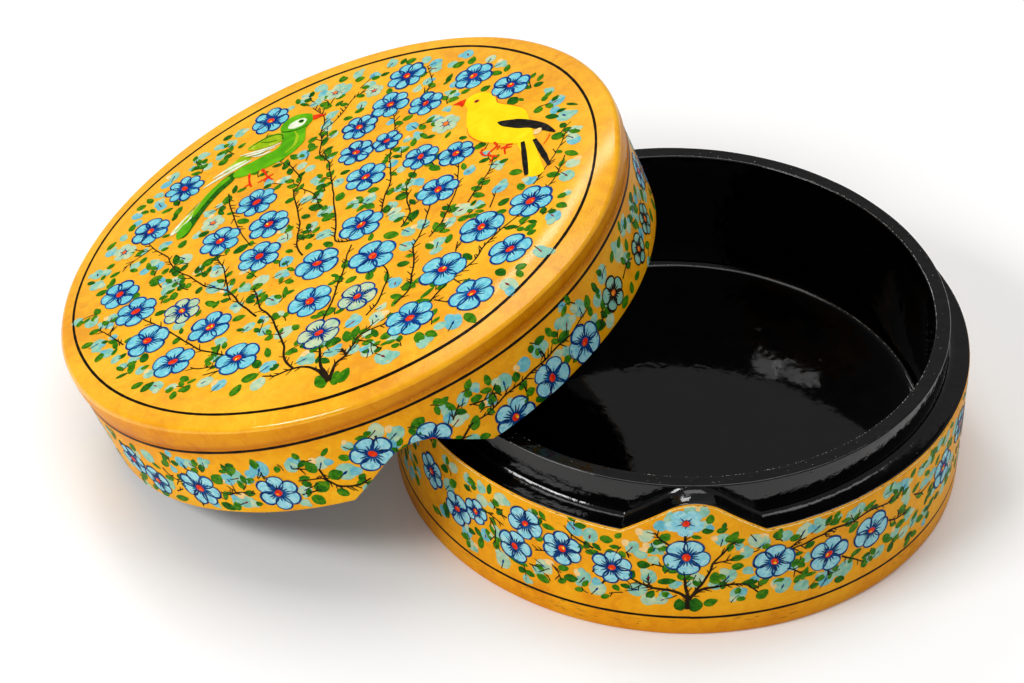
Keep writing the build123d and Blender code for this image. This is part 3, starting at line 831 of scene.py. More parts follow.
    (5, -44, 2.1, 1.0, 70), (7, -44.5, 1.0, 0.8, 20), (9.5, -46.5, 1.6, 0.7, 110), (8, -49, 1.2, 0.9, 0),
    (12.3, -48.9, 1.4, 1.1, 20), (12.2, -51.5, 1.3, 0.5, 10), (19.5, -53.5, 1.7, 1.1, 100),
    (22.2, -53.7, 1.4, 0.9, -40), (30.7, -52, 1.6, 1.0, -55), (0.7, -57.5, 1.9, 1.1, 80),
    (2.5, -57.6, 2.0, 1.2, 60),
]
TOP_BUDS = [
    (-4.1, 57.3, 1.5, 0, 0), (-8.3, 54.6, 1.2, 60, 0), (-11.4, 53.4, 0.9, 0, 0), (-5.3, 51.5, 1.4, 0, 1),
    (-3.4, 54.4, 1.3, 30, 0), (0, 54.9, 1.3, 90, 0), (-23.8, 50.5, 1.5, 70, 0), (-28.9, 47.8, 1.3, 0, 0),
    (-25.7, 47.3, 1.3, 50, 2), (-28.6, 43.7, 1.3, 80, 0), (-33, 46.6, 1.3, 40, 0),
    (-34.5, 45.6, 1.0, 90, 1), (-31.6, 41, 1.2, 0, 0), (-39.8, 42.2, 1.5, 70, 1), (-41.7, 40, 1.4, 20, 0),
    (-35.4, 42.7, 0.9, 0, 0), (-43.4, 36.7, 1.1, 0, 0), (-43.2, 33, 1.4, 110, 2), (-42.5, 31.3, 1.2, 0, 0),
    (-48.5, 31.3, 1.4, -30, 0), (-48.3, 28.2, 1.2, 40, 0), (-51.5, 24.3, 1.2, 90, 0),
    (-54.4, 20.1, 1.4, 10, 0), (-57.3, 13.3, 1.6, 100, 1), (-57.3, 9, 1.7, 20, 0),
    (-54.9, 12.6, 1.1, 80, 0), (-46.6, 15.5, 1.3, 0, 0), (-41.3, 15.3, 1.4, 60, 0), (-48, 11.4, 1.3, 30, 0),
    (-43.2, 9.7, 1.2, 60, 0), (-45.6, 7.8, 1.2, 20, 0), (-35.9, 7, 2.0, -50, 1), (-41.5, 1.9, 1.3, -40, 1),
    (-37.9, -0.5, 1.6, -80, 1), (-28.2, 23.5, 0.8, 0, 1), (-1.5, 27.2, 1.1, 0, 1), (-8, 32, 1.7, 100, 0),
    (-8.3, 27.7, 1.3, 40, 0), (-12.6, 24.5, 1.3, 80, 0), (-6.3, 25.5, 1.2, 0, 0), (-2.4, 40.8, 1.5, 20, 0),
    (-1.5, 44.2, 1.4, 80, 0), (-4.9, 20.1, 1.3, 50, 0), (-7, 13.6, 1.5, 0, 1), (-4.6, 12.1, 1.2, -50, 1),
    (-2.4, 6.1, 1.9, 30, 0), (-11.9, 1.2, 1.7, 10, 1), (-33.3, 14.6, 1.1, 20, 0), (-0.7, 35.9, 1.2, 40, 1),
    (5, 57.3, 1.5, 100, 0), (1.7, 53.2, 1.9, 30, 1), (8.2, 51, 1.4, 90, 0), (6, 43.9, 1.4, 80, 2),
    (13.5, 56.8, 1.4, 50, 1), (21.7, 53.2, 1.4, 100, 0), (24, 50.5, 1.5, 10, 1), (24, 48, 1.4, -30, 2),
    (22, 43.9, 1.3, 60, 1), (19.5, 42.2, 1.1, 0, 0), (13, 32.5, 1.0, 10, 0), (31.7, 49.3, 1.6, 100, 2),
    (28, 47.3, 1.2, 10, 0), (37.2, 43.9, 1.3, 60, 1), (39.5, 40.3, 1.4, 10, 1), (28.5, 38.8, 1.3, 30, 0),
    (28, 35, 1.4, 30, 0), (26.5, 29.9, 1.1, 0, 0), (23, 27.9, 1.3, 60, 0), (18.2, 27.7, 1.6, 120, 1),
    (19.5, 22.8, 1.5, 60, 0), (17, 23, 1.0, 0, 0), (15.5, 20.1, 1.2, -40, 0), (13.7, 15.5, 1.3, 50, 0),
    (15.5, 12.1, 1.2, 90, 0), (4.5, 5.3, 1.6, -20, 0), (8, 4.6, 1.7, 30, 1), (15.5, 4.9, 1.6, 20, 1),
    (19.5, 4.9, 1.5, -20, 0), (0.7, 16, 1.3, -60, 1), (50.7, 22.1, 1.3, 70, 0), (52.2, 17.2, 2.0, 20, 2),
    (51.7, 13.8, 1.4, 100, 0), (54, 10.2, 2.0, -50, 1), (55.7, 3.4, 1.5, 70, 0), (55.5, 0.5, 1.7, -50, 1),
    (38, 0.5, 1.7, -30, 2), (31.5, 1.9, 1.4, 20, 2), (-57.8, -5.2, 1.6, -20, 0), (-54.9, -7.7, 1.2, 70, 1),
    (-53.2, -8.7, 1.0, 0, 0), (-55.8, -14.2, 1.6, 20, 1), (-56, -16, 1.2, 0, 0), (-53.2, -19, 1.5, 80, 0),
    (-51, -22.5, 1.4, 60, 0), (-49.3, -26, 1.1, 10, 0), (-44.9, -30, 1.4, 80, 0),
    (-42.7, -32.5, 1.4, 30, 0), (-40.8, -38, 1.7, -40, 2), (-27.7, -2.5, 1.9, 60, 2),
    (-28.2, -8.2, 2.3, -50, 1), (-21.1, -12.5, 1.5, 10, 0), (-17.2, -12, 1.9, 20, 0),
    (-12.4, -12.2, 1.6, 10, 2), (-11.4, -8, 1.8, 100, 1), (-2.7, -2.7, 1.8, 20, 1),
    (-22.8, -18.5, 1.7, -30, 1), (-14.1, -21.2, 2.0, -50, 2), (-36.4, -18, 1.5, 100, 0),
    (-19.7, -28, 1.6, 40, 1), (-16.3, -31.5, 1.5, 110, 1), (-11.4, -34.7, 2.2, 20, 2),
    (-29.4, -42.7, 1.8, 10, 1), (-26, -45.7, 1.8, 40, 1), (-14.8, -45.2, 1.9, 30, 1),
    (-17, -50.2, 2.0, 60, 0), (-6.1, -47.2, 2.0, 10, 1), (-0.2, -48, 1.9, -20, 1), (13.5, -1, 1.3, 60, 2),
    (14, -3.7, 1.6, 20, 1), (14.2, -5.7, 1.5, -20, 0), (17.2, -13.2, 1.7, -50, 1),
    (20.7, -12.5, 1.6, 80, 1), (16.7, -18.5, 1.7, -50, 2), (26.7, -16.2, 0.9, 20, 0),
    (24, -21.2, 1.6, 80, 1), (23.5, -24, 1.4, 10, 0), (29.7, -12, 2.1, 10, 2), (38.5, -8.7, 1.9, 30, 2),
    (45.5, -10, 1.6, 100, 0), (53.7, -13.2, 2.0, -60, 2), (55.2, -9.2, 1.7, -40, 0),
    (55.7, -0.5, 1.7, -50, 0), (53.5, -19.7, 1.0, 10, 0), (50.2, -26.5, 1.9, -60, 2),
    (14.2, -30.7, 1.7, 80, 2), (4.7, -39.7, 1.9, 30, 2), (10, -41, 1.9, -70, 1), (11, -38, 1.1, 10, 1),
    (4.7, -49.7, 1.5, 60, 0), (8.2, -52.2, 1.9, 80, 1), (11.7, -56.2, 2.3, -50, 2),
    (20.2, -55.2, 1.7, 80, 0), (24.2, -52, 1.4, 10, 0), (27.2, -52, 2.1, 60, 1), (47, -37.2, 1.9, -60, 2),
    (39.5, -45.2, 2.0, -50, 2),
]
TOP_FLOWERS = [
    (-16.3, 51, 4.5, 7, 80), (17, 49.2, 4.5, 7, 95), (13, 39.8, 4.5, 6, 90), (33, 39.2, 4.5, 6, 90),
    (5.5, 35, 4.2, 7, 60), (21.5, 35, 4, 6, 80), (-37, 35.5, 4.5, 8, 90), (41.7, 30, 4.5, 6, 70),
    (4.8, 25.2, 4.2, 7, 90), (12.2, 25.4, 3.5, 6, 60), (-44.8, 23, 4.5, 6, 80), (-19, 19.4, 4.7, 7, 90),
    (7.2, 14, 4.8, 6, 85), (20.2, 14.2, 4.2, 6, 70), (28.5, 10.5, 4.2, 6, 95), (-27.5, 9, 4.8, 6, 80),
    (-15.8, 8.8, 4.8, 6, 95), (-51.3, 2, 4.5, 6, 60), (-17.8, -2.5, 5, 6, 85), (6.2, -4.3, 5, 6, 75),
    (24.2, -1.2, 4.8, 6, 60), (-47, -7, 4.8, 6, 25), (-4, -13.2, 5, 5, 110), (9, -17.8, 5.3, 5, 100),
    (-43.7, -19.8, 5, 5, 85), (-28.8, -23, 5, 6, 80), (34, -21.3, 5, 5, 75), (45.3, -18, 5, 6, 85),
    (-5.5, -26.5, 5, 5, 110), (25, -32, 5.3, 5, 60), (40.3, -33.3, 4.8, 5, 75), (-37.2, -31.2, 4.8, 5, 85),
    (-22, -38.2, 5, 5, 95), (17.5, -45.7, 5.5, 6, 95), (31.5, -44.5, 5, 5, 115),
]
TOP_PALE = [
    (5.5, -31, 4.7, 5, 120), (-3.2, -39.5, 5, 5, 105), (-35.8, -13, 4.5, 6, 90), (26.2, 23.8, 3.5, 6, 70),
    (-51, 18.2, 3, 5, 80), (-29.5, 17.3, 3, 5, 60), (9, 48, 2.4, 5, 80), (-0.5, 53, 2.6, 5, 80),
]
LID_STEMS = [
    ([(-9.4, 9.4), (-8.9, 6.1), (-7.2, 3.9), (-4.4, 2.8), (-0.5, 3.4)], (0.3, 0.4, 0.25)),
    ([(-14.6, 10.9), (-11.7, 10)], (0.3, 0.2)), ([(-15.6, 3.6), (-11.1, 4)], (0.3, 0.2)),
    ([(-14.8, 7.4), (-11, 7), (-8.3, 6.4)], (0.25, 0.2)), ([(-21.7, 11.3), (-21.9, 9.2)], (0.3, 0.2)),
    ([(-34.4, 5.8), (-32, 5.3), (-29.4, 6), (-25.8, 5.4)], (0.3, 0.2)),
    ([(-30.5, 5.6), (-30.3, 8.6)], (0.2, 0.16)), ([(-48.4, 10.8), (-47.6, 9), (-45, 7.5)], (0.3, 0.2)),
    ([(-48, 4), (-45.5, 5.2)], (0.25, 0.2)), ([(-42, 1), (-41.4, 2.2)], (0.3, 0.2)),
    ([(-40.7, 13.2), (-40.2, 11.4)], (0.4, 0.2)), ([(4.5, 13.2), (4.2, 11)], (0.4, 0.2)),
    ([(19.2, 2.8), (21.1, 4.2), (23, 5.4)], (0.4, 0.3)),
    ([(23.9, 9.6), (27, 8.6), (29.4, 8.9), (30.6, 7.2)], (0.25, 0.2)),
    ([(24.4, 5.3), (27.8, 5.6), (31.1, 6.7), (35.6, 6.9), (38.9, 7.5), (43, 7.7), (46.7, 8.1), (50, 7.8),
      (53.9, 8.9), (57, 9.4)], (0.25, 0.35, 0.22)), ([(42.2, 10.2), (42.4, 7.8)], (0.4, 0.22)),
    ([(35.6, 4.2), (35.6, 6.4)], (0.3, 0.2)), ([(55.5, 2.2), (58, 3.4), (60.5, 5)], (0.3, 0.2)),
    ([(69.5, 6), (73, 7.2), (75.5, 6.4)], (0.3, 0.2)), ([(19.6, 8.4), (22.2, 11.2)], (0.3, 0.2)),
    ([(20, 8.6), (19.6, 10.4)], (0.25, 0.15)),
]
LID_LEAVES = [
    (-56.8, 13.9, 1.3, 0.9, 60), (-46.4, 12.5, 1.3, 0.9, 30), (-45.6, 14.2, 1.1, 0.6, 60),
    (-48, 7.8, 1.2, 0.8, 0), (-28.6, 12.5, 1.4, 1.2, 20), (-33.3, 9.7, 1.6, 1.3, 40),
    (-27, 5.6, 1.1, 0.8, 0), (-32.2, 5.6, 0.9, 0.5, 0), (-22.2, 13.6, 1.4, 0.9, 100),
    (-25.3, 9.2, 1.0, 0.7, 20), (-10.8, 10.3, 1.6, 1.1, 100), (-3.3, 10.4, 1.2, 0.8, -30),
    (-6.7, 6.9, 1.5, 1.3, 10), (-10.6, 4.7, 1.7, 1.4, 20), (-12.8, 1.4, 1.5, 1.2, -60),
    (-7.2, 1.9, 1.3, 0.9, -50), (-2, 4.4, 0.9, 0.7, 40), (-13.3, 7.8, 1.1, 0.7, 0), (-32, 2, 1.4, 0.9, 60),
    (-26.4, 2.5, 0.9, 0.6, 0), (-34.4, 1.7, 1.7, 1.0, -20), (-47.8, 1.9, 2.0, 0.8, 10),
    (-60, 4.4, 1.8, 1.0, 40), (-53.9, 1.4, 1.6, 0.8, 20), (-6.5, 13.3, 1.2, 0.5, 40),
    (-30.6, 12, 1.0, 0.5, 0), (-16.8, 6.2, 1.2, 0.6, 80), (13.2, 11.8, 1.5, 1.2, 20),
    (20.3, 11.7, 1.5, 0.7, -60), (21.8, 9.2, 1.2, 0.7, -40), (29.4, 12.5, 1.3, 0.7, 90),
    (35, 8.9, 1.1, 0.9, 80), (45.6, 12.5, 1.2, 0.7, 100), (46.1, 9.4, 1.1, 0.6, -50),
    (48.4, 8.7, 1.5, 1.0, 10), (57.2, 10.6, 1.4, 0.9, 70), (56.9, 8.3, 1.1, 0.7, 80),
    (57.8, 3.6, 1.7, 1.1, -40), (36.4, 3.6, 1.0, 0.9, 0), (35.6, 6.1, 1.1, 0.7, 20),
    (23.3, 5, 1.6, 1.0, 60), (23.9, 0.7, 1.1, 0.8, -20), (19.2, 3.6, 0.9, 0.5, -40),
    (25.8, 10.1, 1.2, 0.8, -10), (37.8, 0.5, 1.3, 0.8, -30), (46.7, 3.6, 1.0, 0.7, 10),
    (67.2, 1.7, 1.5, 0.9, 10), (71, 2.2, 1.2, 0.8, 60), (69.2, 12.3, 1.2, 0.7, 40),
    (60.6, 11.6, 1.3, 0.7, 100), (60.8, 9.6, 1.2, 0.7, 70), (78.6, 13.4, 1.3, 0.8, 30),
    (75.6, 10, 1.2, 0.8, 60), (73.4, 12.6, 1.3, 0.7, 30), (81.6, 12.2, 1.4, 0.8, -40),
    (82.8, 9.6, 1.2, 0.8, 20), (86, 11, 1.4, 0.9, -40), (86.2, 14.2, 1.3, 0.9, 10),
    (90.2, 13, 1.2, 0.8, 40), (74.6, 2.4, 1.3, 0.7, 0), (84, 2.8, 1.3, 0.8, -30), (93.5, 3.5, 1.5, 0.9, 40),
    (93, 9.4, 1.3, 0.8, 80), (96, 12.4, 1.3, 0.8, -20), (3.2, 14.4, 0.8, 0.6, 0), (10, 8, 0.9, 0.5, 60),
    (8.6, 7.6, 1.0, 0.5, 20), (-57.5, 1.8, 1.3, 0.7, 30), (-50.6, 10.6, 1.1, 0.6, -30),
    (-63, 12.4, 1.2, 0.7, 60), (-37, 13.8, 0.9, 0.5, 30),
]
LID_BUDS = [
    (-40.8, 13.9, 1.6, 90, 1), (-34.7, 14.4, 1.5, 80, 1), (-27.8, 10, 1.6, 10, 2),
    (-30.6, 9.7, 1.6, 100, 1), (-14.6, 11.7, 1.7, 80, 1), (-21.7, 12.2, 2.2, 60, 1),
    (-8.3, 10.8, 1.7, 60, 1), (-4.4, 6.9, 2.2, 30, 1), (-28.9, 3.1, 2.0, 20, 2), (-16, 1.4, 1.1, 20, 0),
    (-1.7, 13, 1.2, 10, 0), (-52, 13, 1.9, 20, 0), (-24.4, 11, 1.2, 20, 0), (-31.4, 3.2, 1.5, 60, 0),
    (5, 14.2, 1.9, 80, 0), (8.3, 11.7, 1.8, 30, 1), (19.4, 9.7, 1.7, 60, 1), (23.3, 11.7, 1.6, 60, 1),
    (20.6, 7.8, 1.6, 30, 2), (28.3, 7.8, 1.5, 80, 1), (32.2, 9.7, 1.9, 80, 1), (41.9, 10.9, 1.9, 90, 1),
    (50.3, 10.8, 1.9, 60, 2), (54.7, 11.1, 1.9, 90, 1), (21.4, 1.4, 1.5, -30, 0), (72, 11.4, 2.2, 70, 0),
    (64.2, 12, 2.0, 60, 1), (60, 8.6, 1.5, 80, 0), (37.6, 10.2, 1.6, 80, 0), (45.2, 6.4, 1.2, 20, 0),
    (76.8, 13, 1.4, 20, 0), (79.6, 12, 1.6, 60, 0), (84.4, 12.4, 1.6, 30, 1), (83.4, 6.2, 1.5, 40, 1),
    (73.6, 7.8, 1.6, 80, 0), (88.6, 12, 1.3, 10, 0), (91.6, 11, 1.5, 60, 1), (95, 7.6, 1.6, 20, 0),
    (10.6, 2.5, 1.4, 20, 0), (-57, 11.8, 1.6, 20, 0), (-44.6, 11, 1.0, 30, 0), (-64.6, 6.4, 1.6, 60, 0),
    (-49.5, 5.6, 1.5, 80, 0), (-37.8, 2.0, 1.0, 20, 0), (57, 6, 1.2, 20, 0), (60.8, 2.2, 1.6, 40, 0),
    (47.2, 5.8, 1.1, 60, 0),
]
LID_FLOWERS = [
    (-60.5, 8.9, 4.3, 6, 70), (-53.6, 5.4, 4.0, 5, 95), (-39.6, 6.6, 5.2, 7, 90), (-20.4, 5.1, 4.9, 6, 85),
    (2.2, 9.2, 4.6, 5, 100), (14, 6.4, 4.7, 5, 85), (31.2, 0.6, 4.8, 5, 55), (41.9, 2.9, 4.6, 5, 55),
    (52.3, 3.8, 4.6, 5, 100), (64.9, 6.2, 4.9, 5, 80), (79.4, 5.6, 4.5, 5, 60), (88.5, 6.4, 4.5, 6, 80),
]
BASE_STEMS = [
    ([(-0.6, 7.6), (-0.8, 11), (-1.2, 14), (-1.8, 18.6)], (1.1, 0.7, 0.35)),
    ([(-0.4, 10), (-2, 12), (-4.6, 12.9), (-8, 13.2), (-10.6, 14.2), (-13.2, 15.6)], (0.8, 0.5, 0.3)),
    ([(-8.1, 13.2), (-8.9, 14.4), (-9.6, 16)], (0.3, 0.2)), ([(-10.6, 13.9), (-12.8, 12)], (0.25, 0.16)),
    ([(-0.4, 10.4), (0.8, 12.2), (3, 13.6), (6.4, 14.1), (10, 14.2), (12, 13.6),
      (14.4, 11)], (0.8, 0.42, 0.28)),
    ([(0.4, 12), (2.2, 15), (3.6, 18), (4.2, 20.6), (6.4, 23.6), (9, 27)], (0.6, 0.4, 0.25)),
    ([(4.2, 20.6), (7, 21.2), (9.6, 22.2)], (0.3, 0.2)), ([(5.9, 23), (6.6, 25)], (0.25, 0.16)),
    ([(-1.8, 27), (-1.9, 28.8)], (0.5, 0.4)), ([(-5, 25.8), (-7, 27.4), (-8.2, 29.2)], (0.4, 0.2)),
    ([(-6, 19.6), (-8.6, 20.2)], (0.3, 0.2)), ([(-14, 22.8), (-13.4, 21.2)], (0.35, 0.2)),
    ([(-21.2, 15.2), (-20.6, 16.6)], (0.25, 0.2)), ([(-19, 12.4), (-18.4, 13.8)], (0.35, 0.2)),
    ([(-27.8, 26.2), (-25.4, 23.8), (-21.1, 22)], (0.2, 0.35)), ([(-31, 17.4), (-34.6, 16.2)], (0.25, 0.2)),
    ([(-46.2, 24.4), (-43.9, 22.2), (-41.7, 21.7)], (0.2, 0.3)),
    ([(-48.5, 20), (-45.5, 20), (-42.6, 19.2)], (0.2, 0.2)),
    ([(-46.5, 19.2), (-44.8, 16.6), (-44.8, 13.6), (-44.6, 11.6)], (0.3, 0.2)),
    ([(-36, 11.6), (-33.5, 11.8)], (0.25, 0.2)), ([(-14.5, 11), (-17.5, 10)], (0.2, 0.16)),
    ([(-30.5, 14), (-29, 12), (-28.2, 10)], (0.2, 0.2)), ([(-30.8, 9), (-31.6, 10.4)], (0.2, 0.2)),
    ([(20.8, 21.4), (24.4, 22.2), (28.9, 23.3), (31.1, 23.9), (35, 23.6), (41.1, 24.2), (46.7, 23.3),
      (50, 23.6)], (0.3, 0.4, 0.22)), ([(20.8, 21.9), (22.4, 23.2), (24.6, 23.8)], (0.4, 0.2)),
    ([(28.9, 23.3), (29.6, 22)], (0.3, 0.2)), ([(20.6, 16.3), (22, 15.5), (24.2, 13.6)], (0.3, 0.25)),
    ([(33.9, 14.6), (37.8, 11.7), (40.2, 9.8)], (0.35, 0.2)), ([(30.6, 12.2), (31, 10.4)], (0.4, 0.3)),
    ([(46.7, 18), (49.4, 16.7), (52.8, 17.2)], (0.35, 0.2)), ([(49.4, 16.7), (50.8, 18.6)], (0.25, 0.16)),
    ([(55, 20), (58, 18.6), (62, 18.8)], (0.3, 0.2)),
]
BASE_LEAVES = [
    (-2.3, 8.9, 1.6, 1.2, 100), (0.9, 8.9, 1.8, 1.5, 90), (4.2, 9.5, 1.4, 1.0, 20),
    (-1.7, 17.2, 1.4, 1.1, 20), (4.8, 16.8, 1.3, 1.0, 90), (-5.3, 15.5, 1.8, 0.8, 10),
    (-10.3, 19.7, 1.3, 1.0, 0), (-13, 16.4, 1.3, 1.0, 60), (2.8, 30, 1.1, 0.8, 0),
    (0.5, 28.3, 1.0, 0.5, -10), (5.8, 30, 1.1, 0.7, 20), (3.2, 33.3, 1.2, 0.8, 80), (-6, 28, 1.3, 1.0, 50),
    (6.2, 31.2, 0.9, 0.5, 80), (-18.3, 25.3, 1.3, 1.0, 0), (-15.8, 27, 0.9, 0.6, 50),
    (-16, 12, 0.9, 0.7, -40), (-18.3, 8.9, 1.0, 0.6, 30), (-21.4, 20.8, 1.4, 0.7, 20),
    (-20.4, 22.6, 1.1, 0.6, -40), (-27.8, 13.9, 1.2, 0.8, 20), (-26, 11.7, 1.5, 1.0, 10),
    (-28, 10.2, 1.1, 0.7, 40), (-32.5, 8.9, 1.5, 1.0, -20), (-39, 11.1, 2.4, 0.9, -10),
    (-33.6, 20, 1.0, 0.8, 30), (-31.4, 24.2, 1.4, 0.7, 0), (-52, 26, 1.4, 0.9, 0),
    (-46.5, 27.2, 1.4, 0.6, 80), (-51, 19.4, 1.4, 0.9, 100), (-48.4, 19.6, 1.3, 0.8, 40),
    (-45.4, 18.6, 1.0, 0.6, -40), (-44.6, 12.6, 1.4, 0.8, 80), (-49, 10.4, 1.7, 0.8, 80),
    (-54, 8.8, 1.2, 0.7, 0), (-60.6, 11.8, 1.9, 1.1, 100), (-57.8, 21.4, 1.5, 1.0, 50),
    (-60.8, 23.4, 1.3, 0.8, 10), (-52, 11.7, 1.2, 0.7, 0), (-49.8, 12.8, 1.2, 0.7, -40),
    (-8.6, 11.4, 1.2, 0.8, 60), (7.6, 27.6, 1.2, 0.8, 40), (9.5, 21.8, 1.3, 0.8, 10),
    (9.6, 19.3, 1.2, 0.9, 0), (8.5, 28.2, 1.2, 0.8, 60), (18.3, 26.6, 1.5, 0.8, 80),
    (21.9, 24.6, 1.1, 0.9, 20), (25.6, 21.4, 1.1, 0.8, 20), (31.4, 25.9, 1.4, 0.9, 20),
    (36.4, 21.7, 1.4, 0.9, 50), (40.4, 25.8, 1.7, 0.7, 20), (41.8, 24.6, 1.0, 0.6, 0),
    (22.4, 17, 1.2, 0.7, 60), (23.1, 19.7, 0.9, 0.5, 0), (12.4, 14.2, 1.6, 0.8, 0),
    (15.4, 10.2, 1.4, 1.2, 40), (19, 13.2, 1.1, 0.6, 10), (23.2, 12.4, 1.1, 0.7, 60),
    (24.9, 13.4, 1.6, 0.7, 70), (26.3, 12.7, 1.2, 0.5, 0), (33.9, 7.9, 1.3, 0.9, -20),
    (37.9, 13.8, 1.3, 0.7, 10), (36.5, 12.4, 1.0, 0.6, 60), (40.5, 9.3, 1.3, 0.9, 100),
    (46.7, 12.7, 1.6, 1.0, -60), (48.4, 9.3, 1.3, 0.9, 70), (48.1, 23.5, 1.7, 1.0, 10),
    (51.1, 18.5, 1.2, 1.0, 0), (51, 14.4, 1.5, 0.9, 0), (48.4, 15.8, 1.0, 0.6, -20),
    (53.9, 26.9, 1.1, 0.7, 60), (55.6, 21.6, 1.3, 0.7, 30), (57.6, 18, 1.2, 0.7, -20),
    (58.8, 10.4, 1.5, 0.9, -20), (56.4, 13, 1.3, 0.7, 40), (63.6, 11.6, 1.3, 0.8, 20),
    (61.8, 26.8, 1.3, 0.7, 80), (60, 22.6, 1.2, 0.7, -30), (64.6, 23, 1.2, 0.7, 50),
    (67, 26.6, 1.3, 0.7, 20), (71.6, 27.4, 1.3, 0.7, -30), (72, 12.6, 1.3, 0.8, 30),
    (66.4, 11.4, 1.2, 0.7, 0), (61, 14.4, 1.2, 0.7, 60),
]
BASE_BUDS = [
    (-1.2, 36, 1.5, 90, 0), (1.4, 35, 1.6, 30, 0), (-4.8, 33, 1.6, 30, 0), (2, 31.6, 1.6, 10, 0),
    (-7, 31.2, 1.5, 60, 0), (6, 27.4, 1.6, 80, 1), (-9.9, 28, 1.8, 60, 0), (-8.1, 24.7, 1.7, 80, 1),
    (-8.3, 21.4, 1.2, 20, 0), (-12.8, 24.4, 1.7, 60, 2), (-11, 22.6, 1.5, -20, 0), (-9.1, 16.4, 1.9, 80, 2),
    (-3.6, 14.6, 1.2, 60, 0), (1.2, 15.8, 1.8, 60, 0), (7.8, 16.8, 1.9, 60, 1), (10, 11.4, 1.8, -60, 0),
    (-21.9, 25.4, 2.0, 80, 2), (-25.4, 26, 1.9, -50, 2), (-23, 12.9, 1.8, 60, 2), (-20, 10.8, 2.0, 60, 1),
    (-11.4, 12.4, 2.0, 20, 1), (-9, 9.8, 1.6, 60, 0), (-32.3, 12.4, 2.0, -30, 1), (-42.7, 9, 2.1, 80, 1),
    (-43.4, 26.2, 1.8, 40, 0), (-57.6, 26, 1.6, 40, 0), (-47.6, 13.4, 1.6, 90, 2),
    (-48.6, 22.6, 1.6, 20, 0), (-53.4, 10.4, 1.6, 20, 0), (-61.6, 10.8, 1.5, 20, 0),
    (-53, 25.8, 1.2, 20, 0), (-48.8, 26, 1.4, 60, 0), (-59.4, 19.6, 1.9, 60, 1), (-5.6, 11.6, 1.2, 20, 0),
    (13.2, 26, 1.9, -60, 1), (11.4, 22.8, 1.5, 40, 0), (20, 25.8, 1.4, 80, 0), (24, 26, 2.1, 60, 1),
    (27.6, 26, 1.9, 40, 1), (35.6, 25.4, 1.6, 20, 0), (37.6, 26.2, 1.7, 80, 2), (20, 11.6, 2.1, 70, 1),
    (24.2, 10.2, 1.7, 20, 0), (30.4, 9.8, 2.1, 60, 1), (35, 10.6, 2.2, 60, 0), (25.2, 17.6, 1.2, 20, 0),
    (44.6, 10.2, 1.7, 30, 1), (45.6, 26.8, 1.8, 90, 0), (51.6, 25, 1.5, 60, 0), (52, 21.6, 1.5, 20, 0),
    (53.6, 15.2, 1.6, 60, 0), (52.6, 10.8, 1.6, 20, 1), (49.6, 12.8, 1.4, 40, 0), (56, 11.8, 1.6, 60, 1),
    (58.8, 20.6, 1.5, 20, 0), (57.4, 25.4, 1.6, 80, 0), (62.2, 20.6, 1.5, 40, 0), (64.6, 27, 1.5, 60, 0),
    (74.6, 24.2, 1.7, 30, 0), (74.2, 15.4, 1.6, 60, 1), (60.6, 11, 1.5, 30, 0), (69.6, 11, 1.5, 60, 0),
    (69, 25.6, 1.5, 20, 1), (13.4, 14.9, 1.2, 30, 0), (11.8, 17.8, 1.1, 20, 0),
]
BASE_FLOWERS = [
    (-1.4, 22.6, 5.1, 5, 60), (-17, 17.7, 4.7, 6, 90), (-28.1, 19.5, 4.8, 6, 90), (-37, 22.7, 4.4, 5, 125),
    (-39.6, 14.9, 4.4, 5, 80), (-56.4, 15.2, 4.3, 5, 60), (-50.5, 18.4, 3.4, 5, 80),
    (17.6, 19.1, 4.9, 5, 88), (30.4, 16.9, 5, 5, 75), (41.6, 18.2, 4.9, 5, 60), (68.3, 17.8, 4.7, 5, 80),
    (-66, 19, 4.5, 6, 40),
]

# Lid face --------------------------------------------------------------------

# Where sprigs keep off the birds: a line through each, and how far from it
BIRDS = [([(-38, 17), (-30, 30), (-22, 35), (-12, 38), (-9, 46)], 6.0),
         ([(34, 29), (36, 18), (43, 10), (46, 0), (47, -9)], 7.5)]
SPRIGS, CROWDED = 84, 76  # how many sprigs fill the face, and after how many they may stand close
# The line round the face was drawn by hand, so it wavers: waves in a turn, depth, and crest in degrees
RING, WAVERS = 61.6, ((1, 0.5, -35), (2, 0.3, 45), (3, 0.7, 20), (4, 0.2, -25))


def free_on_top(x, y):
    """Whether a place on the face is clear of blossoms, birds and the bare ground beside the trunk."""
    if not clear_of(x, y, TOP_FLOWERS + TOP_PALE, 1.0, 1.0):
        return False
    if any(near(x, y, line, gap) for line, gap in BIRDS):
        return False
    return not ((y < -46 and x < -20) or (y < -50 and x < 5))


def fill_top(layer):
    """Sprigs in the gaps of the face, fanning out from the trunk."""
    places = []
    while len(places) < SPRIGS:
        a, d = rng.uniform(0, 6.283), 56 * math.sqrt(rng.random())
        x, y = d * math.sin(a) - 0.8, d * math.cos(a) - 1.0
        if not free_on_top(x, y):
            continue
        if len(places) > CROWDED or all(math.hypot(x - p, y - q) > 4.6 for p, q in places):
            places.append((x, y))
            sprig(layer, x, y, math.radians(rng.gauss(90 - 0.6 * x, 40)), rng.uniform(2.6, 4.2))


def ring_line(layer):
    """The black line round the face."""
    ring = []
    for turn in range(0, 360, 30):
        waves = [depth * math.cos(count * math.radians(turn - crest)) for count, depth, crest in WAVERS]
        r = RING + sum(waves)
        ring.append((r * math.sin(math.radians(turn)), -r * math.cos(math.radians(turn))))
    layer.stroke("line", ring, [0.7, 0.58, 0.78, 0.6, 0.7], LINE_LEVEL, closed=True, step=1.2)


